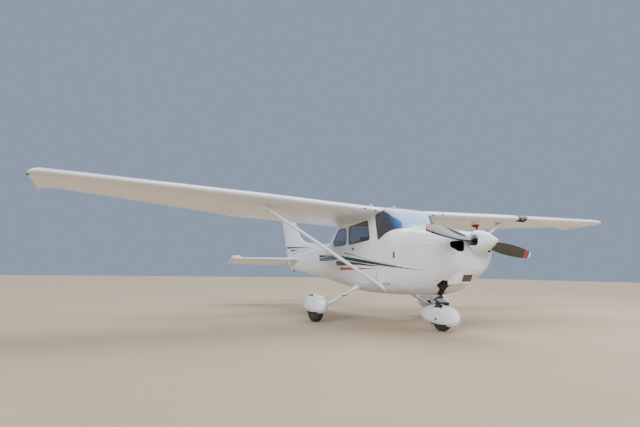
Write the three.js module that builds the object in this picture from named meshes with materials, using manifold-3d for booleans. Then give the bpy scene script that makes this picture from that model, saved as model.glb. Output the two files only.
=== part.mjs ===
// A four-seat light aircraft: high strut-braced wing, one engine, fixed nose-wheel gear with spats.
// Millimetres. X runs to the pilot's left, Y runs aft and Z is the height above the ground.
// Lengthwise places are stations, counted aft from the firewall.

import * as THREE from 'three';
import { mergeVertices } from 'three/addons/utils/BufferGeometryUtils.js';
import Module from 'manifold-3d';

const wasm = await Module();
wasm.setup();

// Driving dimensions
const spinnerTipStation = -1340;
const rudderTopStation = 6890;
const halfSpan = 5500;
const wallThickness = 34;
const paneThickness = 8;
const touchGap = 0.4; // between pieces that touch
const moveGap = 8; // around pieces that move

const wing = {
  rootX: 430,
  kinkX: 2550,
  endX: 5300,
  rootChord: 1626,
  endChord: 1090,
  rootStation: 630,
  endStation: 730,
  rootHeight: 1851, // leading edge at the middle of the aircraft
  rise: 0.0333, // dihedral, as a slope
  incidence: 4.5, // to the ground, on which the body sits nose-up
  endIncidence: 1.5,
  thickness: 0.12,
  camber: 0.02,
};
const flap = { innerX: 610, outerX: 2540, chordPart: 0.26, pivotDrop: 130 };
const aileron = { innerX: 2560, outerX: 5290, chordPart: 0.25 };

const fin = {
  hingeFoot: [5865, 925],
  hingeTop: [6517, 2640],
  edgeSweep: 0.92,
  edgeStationAtRoot: 5040,
  rootHeight: 1420,
  footHeight: 1130,
  thickness: 0.075,
};
const rudder = { trailFoot: [6312, 1300], trailTop: [rudderTopStation, 2590], footHeight: 930 };
const beacon = { station: 6420, top: 2720, radius: 42 };
const tailplane = {
  height: 1168,
  hingeStation: 5862,
  halfSpan: 1727,
  rootEdge: 5110,
  endEdge: 5590,
  trailRoot: 6330,
  trailEnd: 6270,
  hornX: 1500,
  hornStation: 5704,
  thickness: 0.072,
  noseRoot: 35,
  noseEnd: 24,
  droop: 19, // the elevator hangs on its lower stop, as when parked
};

const mainWheel = { x: 1274, station: 1490, radius: 222.5, width: 160, rim: 84 };
const noseWheel = { x: 0, station: -235, radius: 180.5, width: 127, rim: 66 };
const axleRadius = 16;

const propeller = { station: -1032, height: 1267, radius: 965, tilt: 0.158 };
const spinner = { baseStation: -985, radius: 160 };

const cowlFace = -962;
const cowlSplit = { front: 1262, rear: 1198 }; // heights of the joint between the cowl's halves
const cabinEnd = 3000;

// Solid helpers

function solidOf(geometry) {
  const bare = geometry.clone();
  bare.deleteAttribute('normal');
  bare.deleteAttribute('uv');
  const merged = mergeVertices(bare, 1e-3);
  const corners = merged.index.array;
  const kept = [];
  for (let i = 0; i < corners.length; i += 3) {
    const [a, b, c] = [corners[i], corners[i + 1], corners[i + 2]];
    if (a !== b && b !== c && c !== a) kept.push(a, b, c);
  }
  const mesh = new wasm.Mesh({
    numProp: 3,
    vertProperties: new Float32Array(merged.attributes.position.array),
    triVerts: new Uint32Array(kept),
  });
  return new wasm.Manifold(mesh);
}

function geometryOf(solid) {
  const mesh = solid.getMesh();
  const geometry = new THREE.BufferGeometry();
  geometry.setAttribute('position', new THREE.BufferAttribute(mesh.vertProperties, 3));
  geometry.setIndex(new THREE.BufferAttribute(mesh.triVerts, 1));
  geometry.computeVertexNormals();
  return geometry;
}

const point = (x, station, height) => new THREE.Vector3(x, station, height);

// A closed skin through rings that all have the same number of points, with flat ends.
function loft(rings) {
  const around = rings[0].length;
  const points = rings.flat();
  const faces = [];
  for (let row = 0; row + 1 < rings.length; row++) {
    for (let i = 0; i < around; i++) {
      const a = row * around + i;
      const b = row * around + ((i + 1) % around);
      faces.push([a, b, b + around], [a, b + around, a + around]);
    }
  }
  for (const [row, turn] of [[0, 1], [rings.length - 1, 0]]) {
    const middle = new THREE.Vector3();
    rings[row].forEach((p) => middle.addScaledVector(p, 1 / around));
    const hub = points.push(middle) - 1;
    for (let i = 0; i < around; i++) {
      const a = row * around + i;
      const b = row * around + ((i + 1) % around);
      faces.push(turn ? [hub, b, a] : [hub, a, b]);
    }
  }
  let volume = 0;
  for (const [a, b, c] of faces) {
    volume += points[a].dot(new THREE.Vector3().crossVectors(points[b], points[c]));
  }
  const geometry = new THREE.BufferGeometry().setFromPoints(points);
  geometry.setIndex(faces.flatMap(([a, b, c]) => (volume > 0 ? [a, b, c] : [a, c, b])));
  return solidOf(geometry);
}

// A straight box between two corners.
function box(low, high) {
  const size = new THREE.Vector3().subVectors(high, low);
  const geometry = new THREE.BoxGeometry(size.x, size.y, size.z);
  geometry.translate((low.x + high.x) / 2, (low.y + high.y) / 2, (low.z + high.z) / 2);
  return solidOf(geometry);
}

// A round bar or cone between two points.
function bar(from, to, radiusFrom, radiusTo = radiusFrom, sides = 12) {
  const along = new THREE.Vector3().subVectors(to, from);
  const geometry = new THREE.CylinderGeometry(radiusTo, radiusFrom, along.length(), sides);
  const turn = new THREE.Quaternion().setFromUnitVectors(new THREE.Vector3(0, 1, 0), along.normalize());
  geometry.applyQuaternion(turn);
  geometry.translate((from.x + to.x) / 2, (from.y + to.y) / 2, (from.z + to.z) / 2);
  return solidOf(geometry);
}

// A side view outline of [station, height] corners, cut straight across from one X to another.
function sideCut(corners, fromX, toX, rounding = 0, grow = 0) {
  const outline = roundedOutline(corners, rounding, grow);
  const geometry = new THREE.ExtrudeGeometry(outline, { depth: toX - fromX, bevelEnabled: false, curveSegments: 4 });
  // The shape's own X and Y become station and height, and its depth becomes X.
  geometry.applyMatrix4(new THREE.Matrix4().set(0, 0, 1, fromX, 1, 0, 0, 0, 0, 1, 0, 0, 0, 0, 0, 1));
  return solidOf(geometry);
}

// A plan view outline of [x, station] corners, cut straight up from one height to another.
function planCut(corners, fromHeight, toHeight, rounding = 0, grow = 0) {
  const outline = roundedOutline(corners, rounding, grow);
  const depth = toHeight - fromHeight;
  const geometry = new THREE.ExtrudeGeometry(outline, { depth, bevelEnabled: false, curveSegments: 4 });
  geometry.translate(0, 0, fromHeight);
  return solidOf(geometry);
}

// A polygon with its corners rounded, and its sides moved outward by grow.
function roundedOutline(corners, rounding, grow) {
  const flat = corners.map(([a, b]) => new THREE.Vector2(a, b));
  const side = THREE.ShapeUtils.isClockWise(flat) ? -1 : 1;
  const count = flat.length;
  const outward = flat.map((p, i) => {
    const d = new THREE.Vector2().subVectors(flat[(i + 1) % count], p).normalize();
    return new THREE.Vector2(d.y * side, -d.x * side);
  });
  const moved = flat.map((p, i) => {
    const before = outward[(i + count - 1) % count];
    const after = outward[i];
    const both = new THREE.Vector2().addVectors(before, after);
    return p.clone().addScaledVector(both, grow / (1 + before.dot(after)));
  });
  const shape = new THREE.Shape();
  moved.forEach((p, i) => {
    const back = new THREE.Vector2().subVectors(moved[(i + count - 1) % count], p);
    const ahead = new THREE.Vector2().subVectors(moved[(i + 1) % count], p);
    const reach = Math.min(rounding, back.length() / 2.2, ahead.length() / 2.2);
    const start = p.clone().addScaledVector(back.normalize(), reach);
    const end = p.clone().addScaledVector(ahead.normalize(), reach);
    if (i === 0) shape.moveTo(start.x, start.y);
    else shape.lineTo(start.x, start.y);
    if (reach > 0) shape.quadraticCurveTo(p.x, p.y, end.x, end.y);
  });
  return shape;
}

// A front view outline of [x, height] corners, cut straight aft from one station to another.
function frontCut(corners, fromStation, toStation, rounding = 0) {
  const outline = roundedOutline(corners, rounding, 0);
  const depth = toStation - fromStation;
  const geometry = new THREE.ExtrudeGeometry(outline, { depth, bevelEnabled: false, curveSegments: 4 });
  // The shape's own Y becomes height, and its depth runs forward from the aft end.
  geometry.rotateX(Math.PI / 2);
  geometry.translate(0, toStation, 0);
  return solidOf(geometry);
}

const mirror = (solid) => solid.mirror([1, 0, 0]);
const join = (...solids) => solids.reduce((sum, next) => sum.add(next));

// Body of the aircraft
// Columns: station, half width, belly, height of the widest place, top, belly power, top power.
// The powers are those of a superellipse: 2 is round and larger is squarer.
const cowlSections = [
  [cowlFace, 240, 906, 1156, 1350, 1.8, 2.2],
  [-935, 298, 850, 1150, 1392, 1.85, 2.3],
  [-860, 356, 786, 1140, 1418, 1.95, 2.4],
  [-680, 418, 690, 1124, 1450, 2.05, 2.5],
  [-380, 471, 570, 1102, 1498, 2.8, 2.7],
  [0, 505, 512, 1080, 1545, 3.6, 2.9],
];
const cabinSections = [
  [0, 505, 512, 1080, 1545, 3.6, 2.9],
  [250, 520, 500, 1080, 1575, 4.0, 3.0],
  [440, 528, 494, 1088, 1742, 4.4, 5.0],
  [640, 534, 491, 1096, 1900, 4.6, 9.0],
  [740, 536, 490, 1100, 1940, 4.7, 9.5],
  [1000, 538, 490, 1100, 1976, 4.8, 9.5],
  [1500, 532, 500, 1100, 1966, 4.8, 9.5],
  [1900, 510, 532, 1104, 1916, 4.4, 8.5],
  [2250, 472, 570, 1108, 1838, 3.9, 6.5],
  [2500, 440, 592, 1110, 1730, 3.5, 5.0],
  [2750, 408, 614, 1110, 1612, 3.1, 3.9],
  [cabinEnd, 376, 641, 1112, 1516, 2.8, 2.8],
];
const tailSections = [
  [cabinEnd, 376, 641, 1112, 1516, 2.8, 2.8],
  [3700, 298, 712, 1118, 1462, 2.6, 2.5],
  [4500, 208, 794, 1122, 1388, 2.4, 2.3],
  [5300, 122, 862, 1120, 1310, 2.3, 2.2],
  [6100, 50, 905, 1110, 1240, 2.2, 2.2],
];
const bodySides = 28;
const wideStep = 600;

function bodyRing([station, halfWidth, belly, widest, top, bellyPower, topPower], inset) {
  const ring = [];
  for (let i = 0; i < bodySides; i++) {
    const angle = (i / bodySides) * 2 * Math.PI;
    const [c, s] = [Math.cos(angle), Math.sin(angle)];
    const power = 2 / (s >= 0 ? topPower : bellyPower);
    const rise = s >= 0 ? top - inset - widest : widest - belly - inset;
    const x = (halfWidth - inset) * Math.sign(c) * Math.abs(c) ** power;
    ring.push(point(x, station, widest + rise * Math.sign(s) * Math.abs(s) ** power));
  }
  return ring;
}

// The sections between two stations, with one more in each wide step of the table if it is fine.
function bodyRings(table, inset, from = -Infinity, to = Infinity, fine = true) {
  const columns = table[0].length;
  const curve = new THREE.CubicInterpolant(table.map((row) => row[0]), table.flat(), columns);
  const stations = [Math.max(from, table[0][0]), Math.min(to, table[table.length - 1][0])];
  table.forEach((row, i) => {
    stations.push(row[0]);
    if (fine && i > 0 && row[0] - table[i - 1][0] > wideStep) stations.push((row[0] + table[i - 1][0]) / 2);
  });
  const wanted = [...new Set(stations)].filter((s) => s >= stations[0] && s <= stations[1]).sort((a, b) => a - b);
  return wanted.map((s) => bodyRing([s, ...[...curve.evaluate(s)].slice(1)], inset));
}

const bodyHull = (table, inset = 0, from, to, fine) => loft(bodyRings(table, inset, from, to, fine));

// Windshield and windows, as side view outlines of [station, height]
const windshieldOutline = [[240, 1566], [660, 1374], [748, 1765], [700, 1850], [672, 2100], [60, 2100]];
const doorOutline = [[738, 640], [1700, 640], [1712, 1250], [1722, 1736], [850, 1752], [742, 1290]];
const doorWindowOutline = [[914, 1392], [1676, 1348], [1678, 1672], [986, 1726]];
const quarterWindowOutline = [[1790, 1352], [2430, 1352], [2520, 1440], [2190, 1664], [1794, 1668]];
const rearWindowOutline = [[2300, 1960], [2300, 1700], [2380, 1640], [2890, 1478], [2960, 1480], [2960, 1960]];
const baggageOutline = [[2010, 800], [2400, 830], [2400, 1270], [2010, 1270]];
const outsideX = 700;
const aerials = { places: [-250, 250], halfWidth: 7, outline: [[1180, 1950], [1330, 1950], [1400, 2090], [1330, 2090]] };

function cabinParts() {
  const outer = bodyHull(cabinSections);
  const inner = bodyHull(cabinSections, wallThickness, 30, cabinEnd - 30, false);
  const skin = outer.subtract(inner);
  const paneSkin = outer.subtract(bodyHull(cabinSections, paneThickness));
  const sides = [[-outsideX, -200], [200, outsideX]];

  let shell = skin.subtract(sideCut(windshieldOutline, -outsideX, outsideX));
  shell = shell.subtract(sideCut(rearWindowOutline, -outsideX, outsideX).subtract(roofPosts()));
  for (const [low, high] of sides) {
    shell = shell.subtract(sideCut(doorOutline, low, high, 60, moveGap));
    shell = shell.subtract(sideCut(quarterWindowOutline, low, high, 90));
  }
  shell = shell.subtract(sideCut(baggageOutline, 200, outsideX, 40, moveGap));

  const trimmed = (outline, low, high, rounding) => paneSkin.intersect(sideCut(outline, low, high, rounding, -touchGap));
  const panes = {
    windshield: trimmed(windshieldOutline, -outsideX, outsideX, 0),
    rear_window: trimmed(rearWindowOutline, -outsideX, outsideX, 0).subtract(roofPosts(touchGap)),
    quarter_window_left: trimmed(quarterWindowOutline, 200, outsideX, 90),
    quarter_window_right: trimmed(quarterWindowOutline, -outsideX, -200, 90),
  };
  const doors = {};
  for (const [name, [low, high]] of [['right', sides[0]], ['left', sides[1]]]) {
    const panel = skin.intersect(sideCut(doorOutline, low, high, 60));
    doors[`door_${name}`] = panel.subtract(sideCut(doorWindowOutline, low, high, 45));
    doors[`door_glass_${name}`] = trimmed(doorWindowOutline, low, high, 45);
  }
  for (const x of aerials.places) {
    const blade = sideCut(aerials.outline, x - aerials.halfWidth, x + aerials.halfWidth, 12);
    shell = shell.add(blade.subtract(bodyHull(cabinSections, 4)));
  }
  const baggageDoor = skin.intersect(sideCut(baggageOutline, 200, outsideX, 40));
  return { outer, shell, panes, doors, baggageDoor };
}

// The strips of skin beside the rear window that carry the roof.
function roofPosts(grow = 0) {
  const low = 400 - grow;
  return join(
    box(point(low, 2200, 1000), point(outsideX, cabinEnd, 2200)),
    box(point(-outsideX, 2200, 1000), point(-low, cabinEnd, 2200)),
  );
}

// Wing, with its section worked out by the four-digit formula.
function airfoil(chord, thickness, camber, steps = 8, tailGap = 5) {
  const upper = [];
  const lower = [];
  for (let i = 0; i <= steps; i++) {
    const a = (1 - Math.cos((i / steps) * Math.PI)) / 2;
    const half = 5 * thickness * (0.2969 * Math.sqrt(a) - 0.126 * a - 0.3516 * a ** 2 + 0.2843 * a ** 3 - 0.1036 * a ** 4);
    const peak = 0.4;
    const mean = a < peak ? (camber / peak ** 2) * (2 * peak * a - a ** 2)
      : (camber / (1 - peak) ** 2) * (1 - 2 * peak + 2 * peak * a - a ** 2);
    const open = (a * tailGap) / chord / 2;
    upper.push([a * chord, (mean + half + open) * chord]);
    if (i > 0) lower.push([a * chord, (mean - half - open) * chord]);
  }
  return [...upper.reverse(), ...lower];
}

// The wing section's mean line and half thickness at a part of the chord
function sectionAt(part) {
  const outline = airfoil(1, wing.thickness, wing.camber, 200, 0);
  const near = outline.filter(([a]) => Math.abs(a - part) < 0.004).map(([, h]) => h);
  const [low, high] = [Math.min(...near), Math.max(...near)];
  return { mean: (low + high) / 2, half: (high - low) / 2 };
}

function wingPlace(x) {
  const out = Math.max(0, (x - wing.kinkX) / (wing.endX - wing.kinkX));
  return {
    edge: wing.rootStation + out * (wing.endStation - wing.rootStation),
    chord: wing.rootChord + out * (wing.endChord - wing.rootChord),
    height: wing.rootHeight + x * wing.rise,
    turn: THREE.MathUtils.degToRad(wing.incidence + out * (wing.endIncidence - wing.incidence)),
  };
}

// The place on the wing's chord line at a part of the chord, and at a height above that line.
function onWing(x, part, above = 0) {
  const { edge, chord, height, turn } = wingPlace(x);
  const along = part * chord;
  return point(
    x,
    edge + along * Math.cos(turn) + above * Math.sin(turn),
    height - along * Math.sin(turn) + above * Math.cos(turn),
  );
}

function wingRing(x, chordScale = 1, thicknessScale = 1, drop = 0, shift = 0) {
  const { edge, chord, height, turn } = wingPlace(x);
  const outline = airfoil(chord * chordScale, wing.thickness * thicknessScale, wing.camber * chordScale);
  return outline.map(([along, above]) => {
    const aft = along + shift;
    // A tip's section closes towards its lower side, and its rear hangs down.
    const droop = drop * (along / chord) ** 2 + (1 - thicknessScale) * wing.thickness * chord * 0.45;
    return point(x, edge + aft * Math.cos(turn) + above * Math.sin(turn), height - aft * Math.sin(turn) + above - droop);
  });
}

// Wing tip rings. Columns: x, part of the chord, part of the thickness, droop at the rear, shift aft.
const tipRings = [
  [wing.endX + 60, 1, 0.98, 6, 2],
  [wing.endX + 125, 0.975, 0.86, 22, 18],
  [wing.endX + 170, 0.93, 0.62, 42, 48],
  [halfSpan - 12, 0.83, 0.26, 60, 110],
];
const tipLight = [point(5380, 826, 1972), point(halfSpan, 896, 2008)];

function wingSolid() {
  const stations = [wing.rootX - 60, wing.kinkX, wing.endX];
  const rings = stations.map((x) => wingRing(x));
  tipRings.forEach(([x, chordScale, thicknessScale, drop, shift]) => {
    rings.push(wingRing(x, chordScale, thicknessScale, drop, shift));
  });
  return loft(rings).add(box(...tipLight));
}

// The landing light's bay in the left wing's leading edge, closed by a clear pane
const lightBay = { innerX: 2690, outerX: 2960, rear: 735, lampX: [2764, 2886], lampHeight: 1940, lampRadius: 32 };

function landingLight(whole) {
  const { innerX, outerX, rear, lampX, lampHeight, lampRadius } = lightBay;
  const room = (gap) => box(point(innerX + gap, 500, 1700), point(outerX - gap, rear - gap, 2200));
  const hollow = loft([innerX + 8, outerX - 8].map((x) => wingRing(x, 1, 0.88, 0, 9)));
  const lamps = lampX.map((x) => bar(point(x, rear + 4, lampHeight), point(x, rear - 30, lampHeight), lampRadius, lampRadius, 20));
  return { room: room(0), lamps: join(...lamps), pane: whole.intersect(room(touchGap)).subtract(hollow) };
}

// Splits a flying surface along a straight hinge line. What lies on the far side of the line
// becomes the moving piece, with a round nose, and the fixed piece keeps a gap all round it.
// The moving piece goes on past the end of its nose by the overrun.
function splitAtHinge(surface, from, to, radiusFrom, radiusTo, aft, depth, overrun = 0) {
  const along = new THREE.Vector3().subVectors(to, from).normalize();
  const up = new THREE.Vector3().crossVectors(along, aft).normalize();
  const back = new THREE.Vector3().crossVectors(up, along).normalize();
  const tall = 400;
  const ringAt = (base, start) => [[start, -tall], [depth, -tall], [depth, tall], [start, tall]].map(([b, u]) => (
    base.clone().addScaledVector(back, b).addScaledVector(up, u)
  ));
  const moving = loft([ringAt(from, 0), ringAt(to.clone().addScaledVector(along, overrun), 0)]);
  const nose = bar(from, to, radiusFrom, radiusTo);
  const farFrom = from.clone().addScaledVector(along, -moveGap);
  const farTo = to.clone().addScaledVector(along, moveGap + overrun);
  const room = loft([ringAt(farFrom, 0), ringAt(farTo, 0)]);
  const noseRoom = bar(farFrom, farTo, radiusFrom + moveGap, radiusTo + moveGap);
  return {
    moving: surface.intersect(moving).add(nose),
    fixed: surface.subtract(room).subtract(noseRoom),
    room: room.add(noseRoom),
  };
}

function wingParts(bodyOuter) {
  const whole = wingSolid();
  const aft = point(0, 1, 0);
  const flapPart = 1 - flap.chordPart;
  const aileronPart = 1 - aileron.chordPart;
  const noseAt = (x, part) => {
    const { mean, half } = sectionAt(part);
    const { chord } = wingPlace(x);
    return { centre: onWing(x, part, mean * chord), radius: half * chord };
  };
  const split = (surface, { innerX, outerX }, part) => {
    const inner = noseAt(innerX, part);
    const outer = noseAt(outerX, part);
    return splitAtHinge(surface, inner.centre, outer.centre, inner.radius, outer.radius, aft, 900);
  };
  const flapCut = split(whole, flap, flapPart);
  const aileronCut = split(flapCut.fixed, aileron, aileronPart);
  const panel = aileronCut.fixed.subtract(bodyOuter);
  const light = landingLight(whole);
  const leftPanel = panel.subtract(light.room).add(light.lamps);
  return { panel, leftPanel, pane: light.pane, flap: flapCut.moving, aileron: aileronCut.moving };
}

// Wing strut with a cuff at each end
const strutFoot = point(484, 640, 612);
const strutHead = point(2515, 905, 1872);

function strut() {
  const along = new THREE.Vector3().subVectors(strutHead, strutFoot);
  const length = along.length();
  // Columns: part of the length, chord, thickness
  const cuts = [[-0.04, 150, 76], [0.045, 124, 58], [0.075, 106, 50], [0.93, 106, 50], [0.965, 138, 62], [1.02, 200, 78]];
  const direction = along.clone().normalize();
  const aft = point(0, 1, 0).addScaledVector(direction, -direction.y).normalize();
  const up = new THREE.Vector3().crossVectors(direction, aft);
  const rings = cuts.map(([part, chord, thickness]) => {
    const middle = strutFoot.clone().addScaledVector(direction, part * length);
    return airfoil(chord, thickness / chord, 0, 7, 3).map(([a, h]) => (
      middle.clone().addScaledVector(aft, a - chord * 0.4).addScaledVector(up, h)
    ));
  });
  const tieDown = box(point(2360, 900, 1715), point(2372, 940, 1790));
  return loft(rings).add(tieDown);
}

// Tail
function finSolid() {
  const edgeAt = (height) => fin.edgeStationAtRoot + (height - fin.rootHeight) * fin.edgeSweep;
  const { trailFoot, trailTop } = rudder;
  const trailSlope = (trailTop[0] - trailFoot[0]) / (trailTop[1] - trailFoot[1]);
  const trailAt = (height) => trailFoot[0] + (height - trailFoot[1]) * trailSlope;
  // Columns: height, part of the thickness, inset of both edges
  const levels = [
    [rudder.footHeight, 1, 0], [fin.footHeight, 1, 0], [fin.rootHeight, 1, 0], [2000, 1, 0],
    [2520, 1, 0], [2590, 0.8, 0], [2640, 0.5, 40], [2664, 0.16, 110],
  ];
  const rings = levels.map(([height, scale, inset]) => {
    const edge = Math.max(edgeAt(height), edgeAt(fin.rootHeight) - 20) + inset;
    const trail = trailAt(height) - inset * 0.7;
    const chord = trail - edge;
    return airfoil(chord, fin.thickness * scale, 0, 8).map(([a, h]) => point(h, edge + a, height));
  });
  return loft(rings);
}

// The low ridge that leads into the fin
function dorsalSolid() {
  // Columns: station, height of the crest, half width at the foot
  const crest = [[3640, 1480, 12], [4300, 1530, 30], [4800, 1588, 38], [5110, 1650, 40], [5420, 1800, 30]];
  const rings = crest.map(([station, top, half]) => [
    point(-half, station, 1250), point(half, station, 1250), point(half, station, top - 60 - half),
    point(half * 0.55, station, top - 14), point(0, station, top), point(-half * 0.55, station, top - 14),
    point(-half, station, top - 60 - half),
  ]);
  return loft(rings);
}

function tailplaneSolid(grow = 0) {
  const { height, halfSpan: reach, rootEdge, endEdge, trailRoot, trailEnd, thickness } = tailplane;
  // Columns: x, part of the thickness, inset of both edges
  const places = [[0, 1, 0], [1640, 1, 0], [1700, 0.72, 14], [reach, 0.3, 45]];
  const both = [...places.slice(1).reverse().map(([x, s, i]) => [-x, s, i]), ...places];
  const rings = both.map(([x, scale, inset]) => {
    const out = Math.abs(x) / reach;
    const edge = rootEdge + out * (endEdge - rootEdge) + inset - grow;
    const trail = trailRoot + out * (trailEnd - trailRoot) - inset + grow;
    const outline = airfoil(trail - edge, thickness * scale + grow / 500, 0, 8);
    return outline.map(([a, h]) => point(x, edge + a, height + h));
  });
  return loft(rings);
}

function tailParts() {
  const cone = bodyHull(tailSections);
  const coneGrown = bodyHull(tailSections, -touchGap);
  const hollow = bodyHull(tailSections, 13, cabinEnd - 1, 5000, false);
  const whole = finSolid();
  const foot = point(0, ...fin.hingeFoot);
  const top = point(0, ...fin.hingeTop);
  const rudderCut = splitAtHinge(whole.add(dorsalSolid()), foot, top, 30, 24, point(0, 1, 0), 700, 200);

  // The stabilizer and the elevator, with the elevator's round nose and its horns
  const plane = tailplaneSolid();
  const hingeMiddle = point(0, tailplane.hingeStation, tailplane.height);
  const hingeEnd = point(tailplane.halfSpan - 4, tailplane.hingeStation, tailplane.height);
  const half = splitAtHinge(plane, hingeMiddle, hingeEnd, tailplane.noseRoot, tailplane.noseEnd, point(0, 1, 0), 700);
  const innerX = 62;
  const slotFlare = 0.34;
  const rudderSlot = planCut([
    [-innerX, tailplane.hingeStation + 22], [innerX, tailplane.hingeStation + 22],
    [innerX + 700 * slotFlare, tailplane.hingeStation + 722], [-innerX - 700 * slotFlare, tailplane.hingeStation + 722],
  ], 800, 1500);
  const hornRoom = (low, high, front) => join(
    box(point(low, front, 900), point(high, tailplane.hingeStation + 5, 1450)),
    box(point(-high, front, 900), point(-low, tailplane.hingeStation + 5, 1450)),
  );
  const hornFront = tailplane.hornStation + 18;
  const hornNose = bar(
    point(tailplane.hornX + moveGap, hornFront, tailplane.height),
    point(tailplane.halfSpan - 10, hornFront, tailplane.height),
    20,
    14,
  );
  const horns = plane.intersect(hornRoom(tailplane.hornX + moveGap, 1800, hornFront)).add(hornNose).add(mirror(hornNose));
  const sweep = tailplane.hingeStation - tailplane.hornStation + 2 + moveGap;
  const hornSweep = bar(hingeMiddle.clone().setX(tailplane.hornX), hingeMiddle.clone().setX(1800), sweep, sweep, 40);
  const tubeEnd = point(160, tailplane.hingeStation, tailplane.height);
  const tube = bar(tubeEnd.clone().setX(-160), tubeEnd, 20);
  let elevator = half.moving.add(mirror(half.moving));
  elevator = elevator.subtract(box(point(-innerX, 5000, 900), point(innerX, 6800, 1500)));
  elevator = elevator.subtract(rudderSlot).add(horns).add(tube);
  const stabilizer = plane.subtract(half.room).subtract(mirror(half.room))
    .subtract(hornSweep).subtract(mirror(hornSweep));
  // Room in the end of the cone for the elevator's tube and for the roots of its halves as they turn
  const roomFront = tailplane.hingeStation - 46;
  const tubeRoom = sideCut([
    [roomFront, tailplane.height - 50], [6500, tailplane.height - 330],
    [6500, tailplane.height + 370], [roomFront, tailplane.height + 50],
  ], -200, 200);
  const tailCone = cone.subtract(hollow).subtract(tailplaneSolid(1)).subtract(rudderCut.room).subtract(tubeRoom);
  const lamp = bar(point(0, beacon.station, 2640), point(0, beacon.station, beacon.top), beacon.radius, beacon.radius * 0.7, 16);
  const finFixed = rudderCut.fixed.subtract(coneGrown).subtract(tailplaneSolid(1)).subtract(tubeRoom).add(lamp);
  return { tailCone, finFixed, rudder: rudderCut.moving, stabilizer, elevator };
}

// A wheel with its axis along X, centred on the origin
function tyre({ radius, width, rim }) {
  const half = width / 2;
  const profile = new THREE.Path();
  profile.moveTo(rim, -half * 0.62);
  profile.bezierCurveTo(rim + 20, -half * 1.12, radius - 12, -half * 1.22, radius - 2, -half * 0.42);
  profile.lineTo(radius, 0);
  profile.lineTo(radius - 2, half * 0.42);
  profile.bezierCurveTo(radius - 12, half * 1.22, rim + 20, half * 1.12, rim, half * 0.62);
  const points = profile.getPoints(4);
  points.push(points[0].clone());
  return wheelLathe(points);
}

function hub({ width, rim }) {
  const half = width * 0.31;
  const bore = axleRadius + 1.5;
  const edge = rim - touchGap;
  const points = [
    [bore, -half], [edge - 10, -half], [edge, -half - 4], [edge, half + 4], [edge - 10, half], [bore, half], [bore, -half],
  ].map(([r, x]) => new THREE.Vector2(r, x));
  return wheelLathe(points);
}

const wheelSides = 26;

function wheelLathe(points) {
  const geometry = new THREE.LatheGeometry(points, wheelSides);
  geometry.rotateZ(Math.PI / 2);
  let solid = solidOf(geometry);
  if (solid.volume() < 0) solid = solidOf(flipped(geometry));
  return solid;
}

function flipped(geometry) {
  const corners = geometry.index.array;
  for (let i = 0; i < corners.length; i += 3) [corners[i], corners[i + 1]] = [corners[i + 1], corners[i]];
  return geometry;
}

const toAxle = (solid, { x, station, radius }) => solid.translate([x, station, radius]);

// Spats. Columns: station from the axle, half width, bottom, middle, top.
const mainSpatSections = [
  [-385, 20, 262, 296, 330], [-350, 66, 205, 292, 385], [-260, 108, 158, 290, 434], [-120, 130, 140, 290, 464],
  [40, 132, 140, 290, 472], [200, 118, 150, 290, 456], [350, 86, 180, 292, 415], [450, 46, 225, 295, 365],
  [500, 14, 278, 300, 322],
];
const noseSpatSections = [
  [-352, 18, 172, 198, 228], [-320, 58, 122, 196, 284], [-230, 96, 84, 196, 342], [-90, 114, 74, 198, 378],
  [80, 114, 76, 202, 380], [230, 104, 88, 206, 366], [370, 78, 120, 212, 330], [450, 44, 158, 220, 290],
  [485, 14, 200, 226, 254],
];

function spatShape(sections) {
  const sides = 20;
  const rings = sections.map(([station, halfWidth, bottom, middle, top]) => {
    const ring = [];
    for (let i = 0; i < sides; i++) {
      const angle = (i / sides) * 2 * Math.PI;
      const [c, s] = [Math.cos(angle), Math.sin(angle)];
      const power = 2 / 2.5;
      const rise = s >= 0 ? top - middle : middle - bottom;
      ring.push(point(halfWidth * Math.sign(c) * Math.abs(c) ** power, station, middle + rise * Math.sign(s) * Math.abs(s) ** power));
    }
    return ring;
  });
  return loft(rings);
}

// The space that a wheel needs inside its spat, open below
function wheelWell({ radius, width }, clear) {
  const reach = radius + clear;
  const half = width / 2 + clear;
  const round = bar(point(-half, 0, radius), point(half, 0, radius), reach, reach, 28);
  return round.add(box(point(-half, -reach * 0.92, -50), point(half, reach * 0.92, radius * 0.75)));
}

// Main leg, from the belly to the axle
const legRoot = point(345, 1520, 634);
const legFoot = point(1160, 1490, 240);

function gearLeg() {
  const along = new THREE.Vector3().subVectors(legFoot, legRoot);
  const length = along.length();
  const direction = along.clone().normalize();
  const aft = point(0, 1, 0).addScaledVector(direction, -direction.y).normalize();
  const up = new THREE.Vector3().crossVectors(direction, aft);
  // Columns: part of the length, chord, thickness
  const cuts = [[0, 330, 120], [0.16, 250, 84], [0.27, 172, 56], [0.4, 148, 48], [1, 128, 44]];
  const rings = cuts.map(([part, chord, thickness]) => {
    const middle = legRoot.clone().addScaledVector(direction, part * length);
    return airfoil(chord, thickness / chord, 0, 7, 3).map(([a, h]) => (
      middle.clone().addScaledVector(aft, a - chord * 0.4).addScaledVector(up, h)
    ));
  });
  const wheelCentre = point(mainWheel.x, mainWheel.station, mainWheel.radius);
  const axleEnd = wheelCentre.clone().add(point(mainWheel.width * 0.31 + 6, 0, 0));
  const axleStart = point(legFoot.x - 26, mainWheel.station, mainWheel.radius);
  const bracket = box(point(legFoot.x - 30, 1440, 190), point(legFoot.x - 4, 1540, 262));
  const stepPlace = legRoot.clone().lerp(legFoot, 0.5);
  const step = box(stepPlace.clone().add(point(-40, -130, -6)), stepPlace.clone().add(point(40, 0, 6)));
  return join(loft(rings), bracket, bar(axleStart, axleEnd, axleRadius), step);
}

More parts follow.
